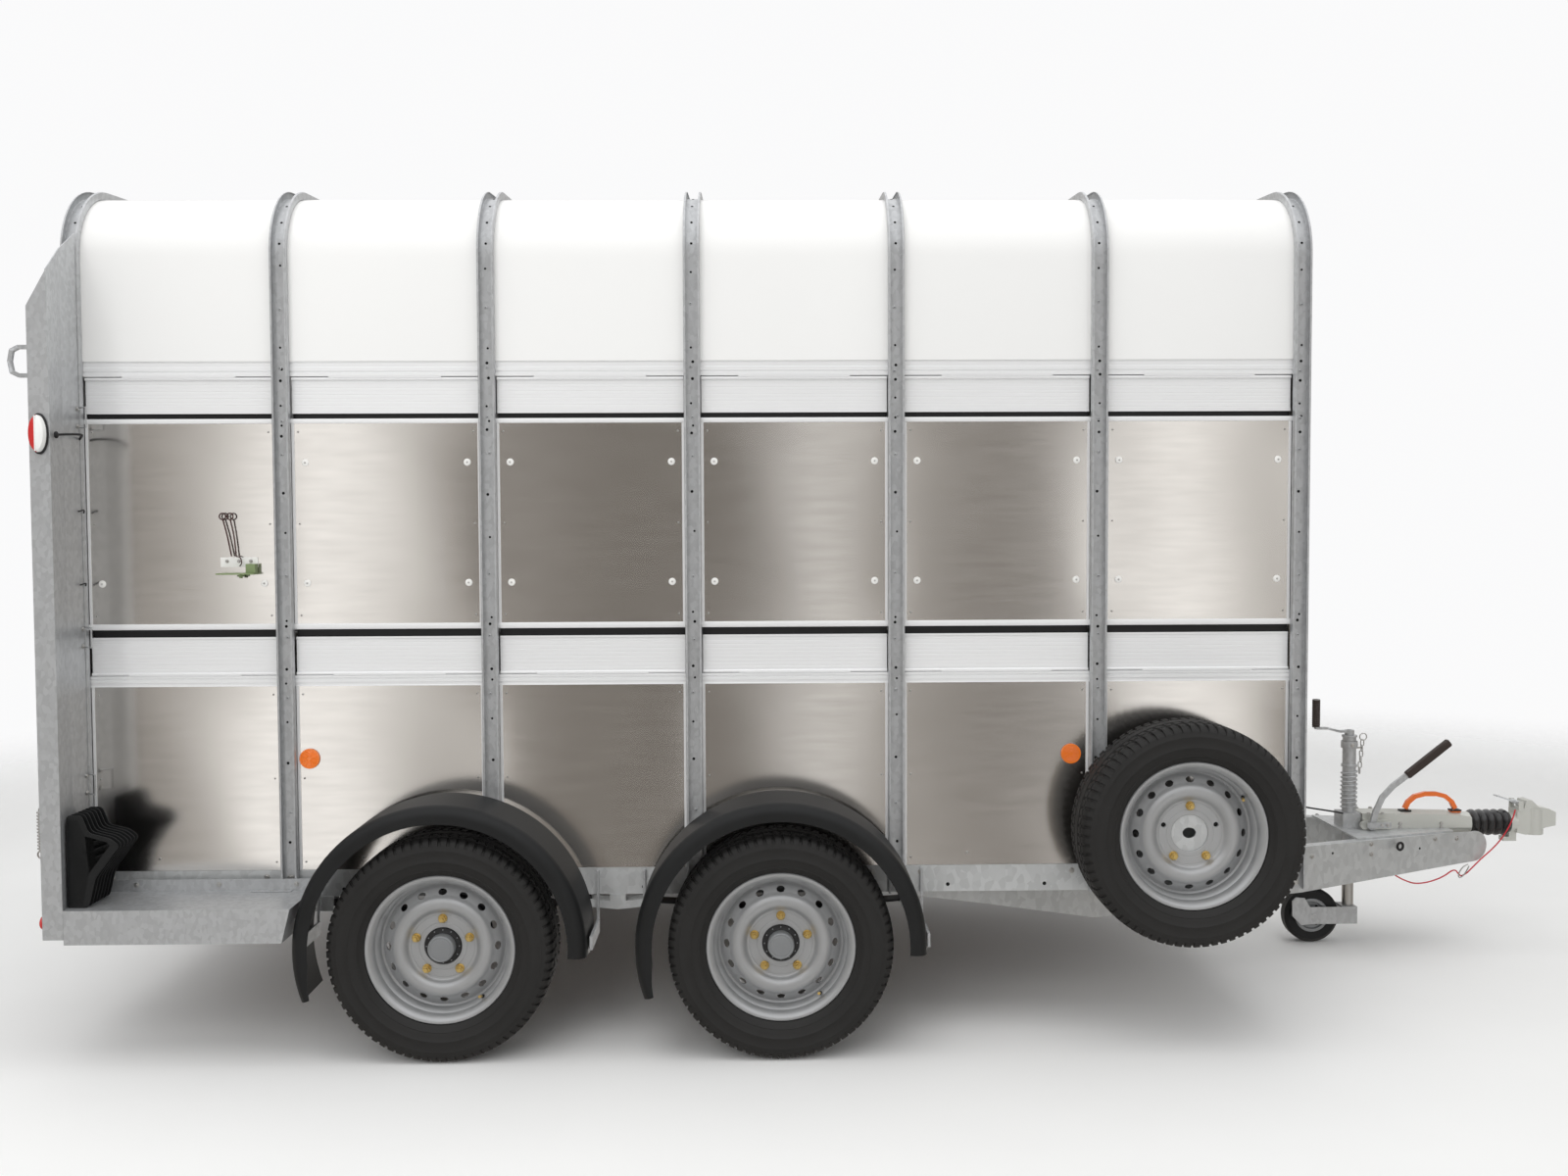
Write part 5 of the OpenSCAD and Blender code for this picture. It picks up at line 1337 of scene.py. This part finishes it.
def build_world():
    """A pale studio: white to the camera, with soft bright and brown bands for the sheets to reflect."""
    world = bpy.data.worlds.new("studio")
    scene.world = world
    world.use_nodes = True
    tree = world.node_tree
    tree.nodes.clear()

    def node(kind, **values):
        made = tree.nodes.new(kind)
        for key, value in values.items():
            setattr(made, key, value)
        return made

    def link(a, b):
        tree.links.new(a, b)

    coords = node("ShaderNodeTexCoord")
    split = node("ShaderNodeSeparateXYZ")
    link(coords.outputs["Generated"], split.inputs[0])
    depth = node("ShaderNodeMath", operation="ABSOLUTE")
    link(split.outputs["Y"], depth.inputs[0])
    clamped = node("ShaderNodeMath", operation="MAXIMUM")
    link(depth.outputs[0], clamped.inputs[0])
    clamped.inputs[1].default_value = 0.05
    ratio = node("ShaderNodeMath", operation="DIVIDE")
    link(split.outputs["X"], ratio.inputs[0])
    link(clamped.outputs[0], ratio.inputs[1])
    spread = node("ShaderNodeMapRange")
    link(ratio.outputs[0], spread.inputs["Value"])
    spread.inputs["From Min"].default_value = -1.0
    spread.inputs["From Max"].default_value = 1.0
    bands = node("ShaderNodeValToRGB")
    link(spread.outputs[0], bands.inputs[0])
    dark, mid, bright = (0.17, 0.153, 0.136, 1), (0.36, 0.335, 0.305, 1), (1.50, 1.48, 1.45, 1)
    stops = [(0.0, mid), (0.22, mid), (0.265, dark), (0.312, mid), (0.328, bright), (0.350, bright),
             (0.385, mid), (0.43, dark), (0.505, dark), (0.528, bright), (0.540, mid), (0.575, dark),
             (0.615, dark), (0.638, bright), (0.655, bright), (0.68, mid), (0.73, dark), (0.78, mid),
             (0.82, bright), (0.88, mid), (1.0, mid)]
    ramp = bands.color_ramp
    ramp.interpolation = "EASE"
    while len(ramp.elements) < len(stops):
        ramp.elements.new(0.5)
    for element, (place, colour) in zip(ramp.elements, stops):
        element.position = place
        element.color = colour
    up = node("ShaderNodeMapRange")
    link(split.outputs["Z"], up.inputs["Value"])
    up.inputs["From Min"].default_value = 0.25
    up.inputs["From Max"].default_value = 0.65
    glossy_mix = node("ShaderNodeMix", data_type="RGBA")
    link(up.outputs[0], glossy_mix.inputs[0])
    link(bands.outputs[0], glossy_mix.inputs[6])
    glossy_mix.inputs[7].default_value = (1.15, 1.15, 1.16, 1)
    rays = node("ShaderNodeLightPath")
    plain = node("ShaderNodeMix", data_type="RGBA")
    link(rays.outputs["Is Camera Ray"], plain.inputs[0])
    plain.inputs[6].default_value = (0.66, 0.665, 0.67, 1)
    plain.inputs[7].default_value = (0.96, 0.96, 0.965, 1)
    pick = node("ShaderNodeMix", data_type="RGBA")
    link(rays.outputs["Is Glossy Ray"], pick.inputs[0])
    link(plain.outputs[2], pick.inputs[6])
    link(glossy_mix.outputs[2], pick.inputs[7])
    shade = node("ShaderNodeBackground")
    link(pick.outputs[2], shade.inputs[0])
    out = node("ShaderNodeOutputWorld")
    link(shade.outputs[0], out.inputs[0])


def build_lights():
    """Two soft area lamps that the glossy sheets don't show."""
    for name, place, size, power, target in (
            ("overhead", (0.0, -1.0, 6.0), 7.0, 210, (0, 0, 0)),
            ("camera_side", (-2.0, -6.5, 3.8), 4.0, 90, (0, 0, 1.0))):
        data = bpy.data.lights.new(name, "AREA")
        data.size = size
        data.energy = power
        lamp = bpy.data.objects.new(name, data)
        scene.collection.objects.link(lamp)
        lamp.location = at(*place)
        lamp.rotation_euler = (at(*target) - lamp.location).to_track_quat("-Z", "Y").to_euler()
        lamp.visible_glossy = False
        lamp.visible_camera = False


# ---------- build ----------

build_finishes()
build_hoops()
build_roof()
build_panels("lower_panels", "panel_aluminium", [0.0028, -0.0016, 0.0024, 0.0020, -0.0012, 0.0022])
build_panels("upper_panels", "panel_aluminium", [0.0012, 0.0020, -0.0010, 0.0022, 0.0014, -0.0012])
build_rails()
build_flaps()
build_buttons()
build_pin_shelf()
build_mudguards()
build_wheels()
build_marker_lamps()
build_tail_lamps()
build_wing_fittings()
build_chassis_fittings()
build_grips()
build_drawbar_fittings()
build_bellows()
build_mast_fittings()
build_ramp_skin()
build_front_skin()
build_floor()
build_world()
build_lights()

scene.view_settings.view_transform = "Standard"
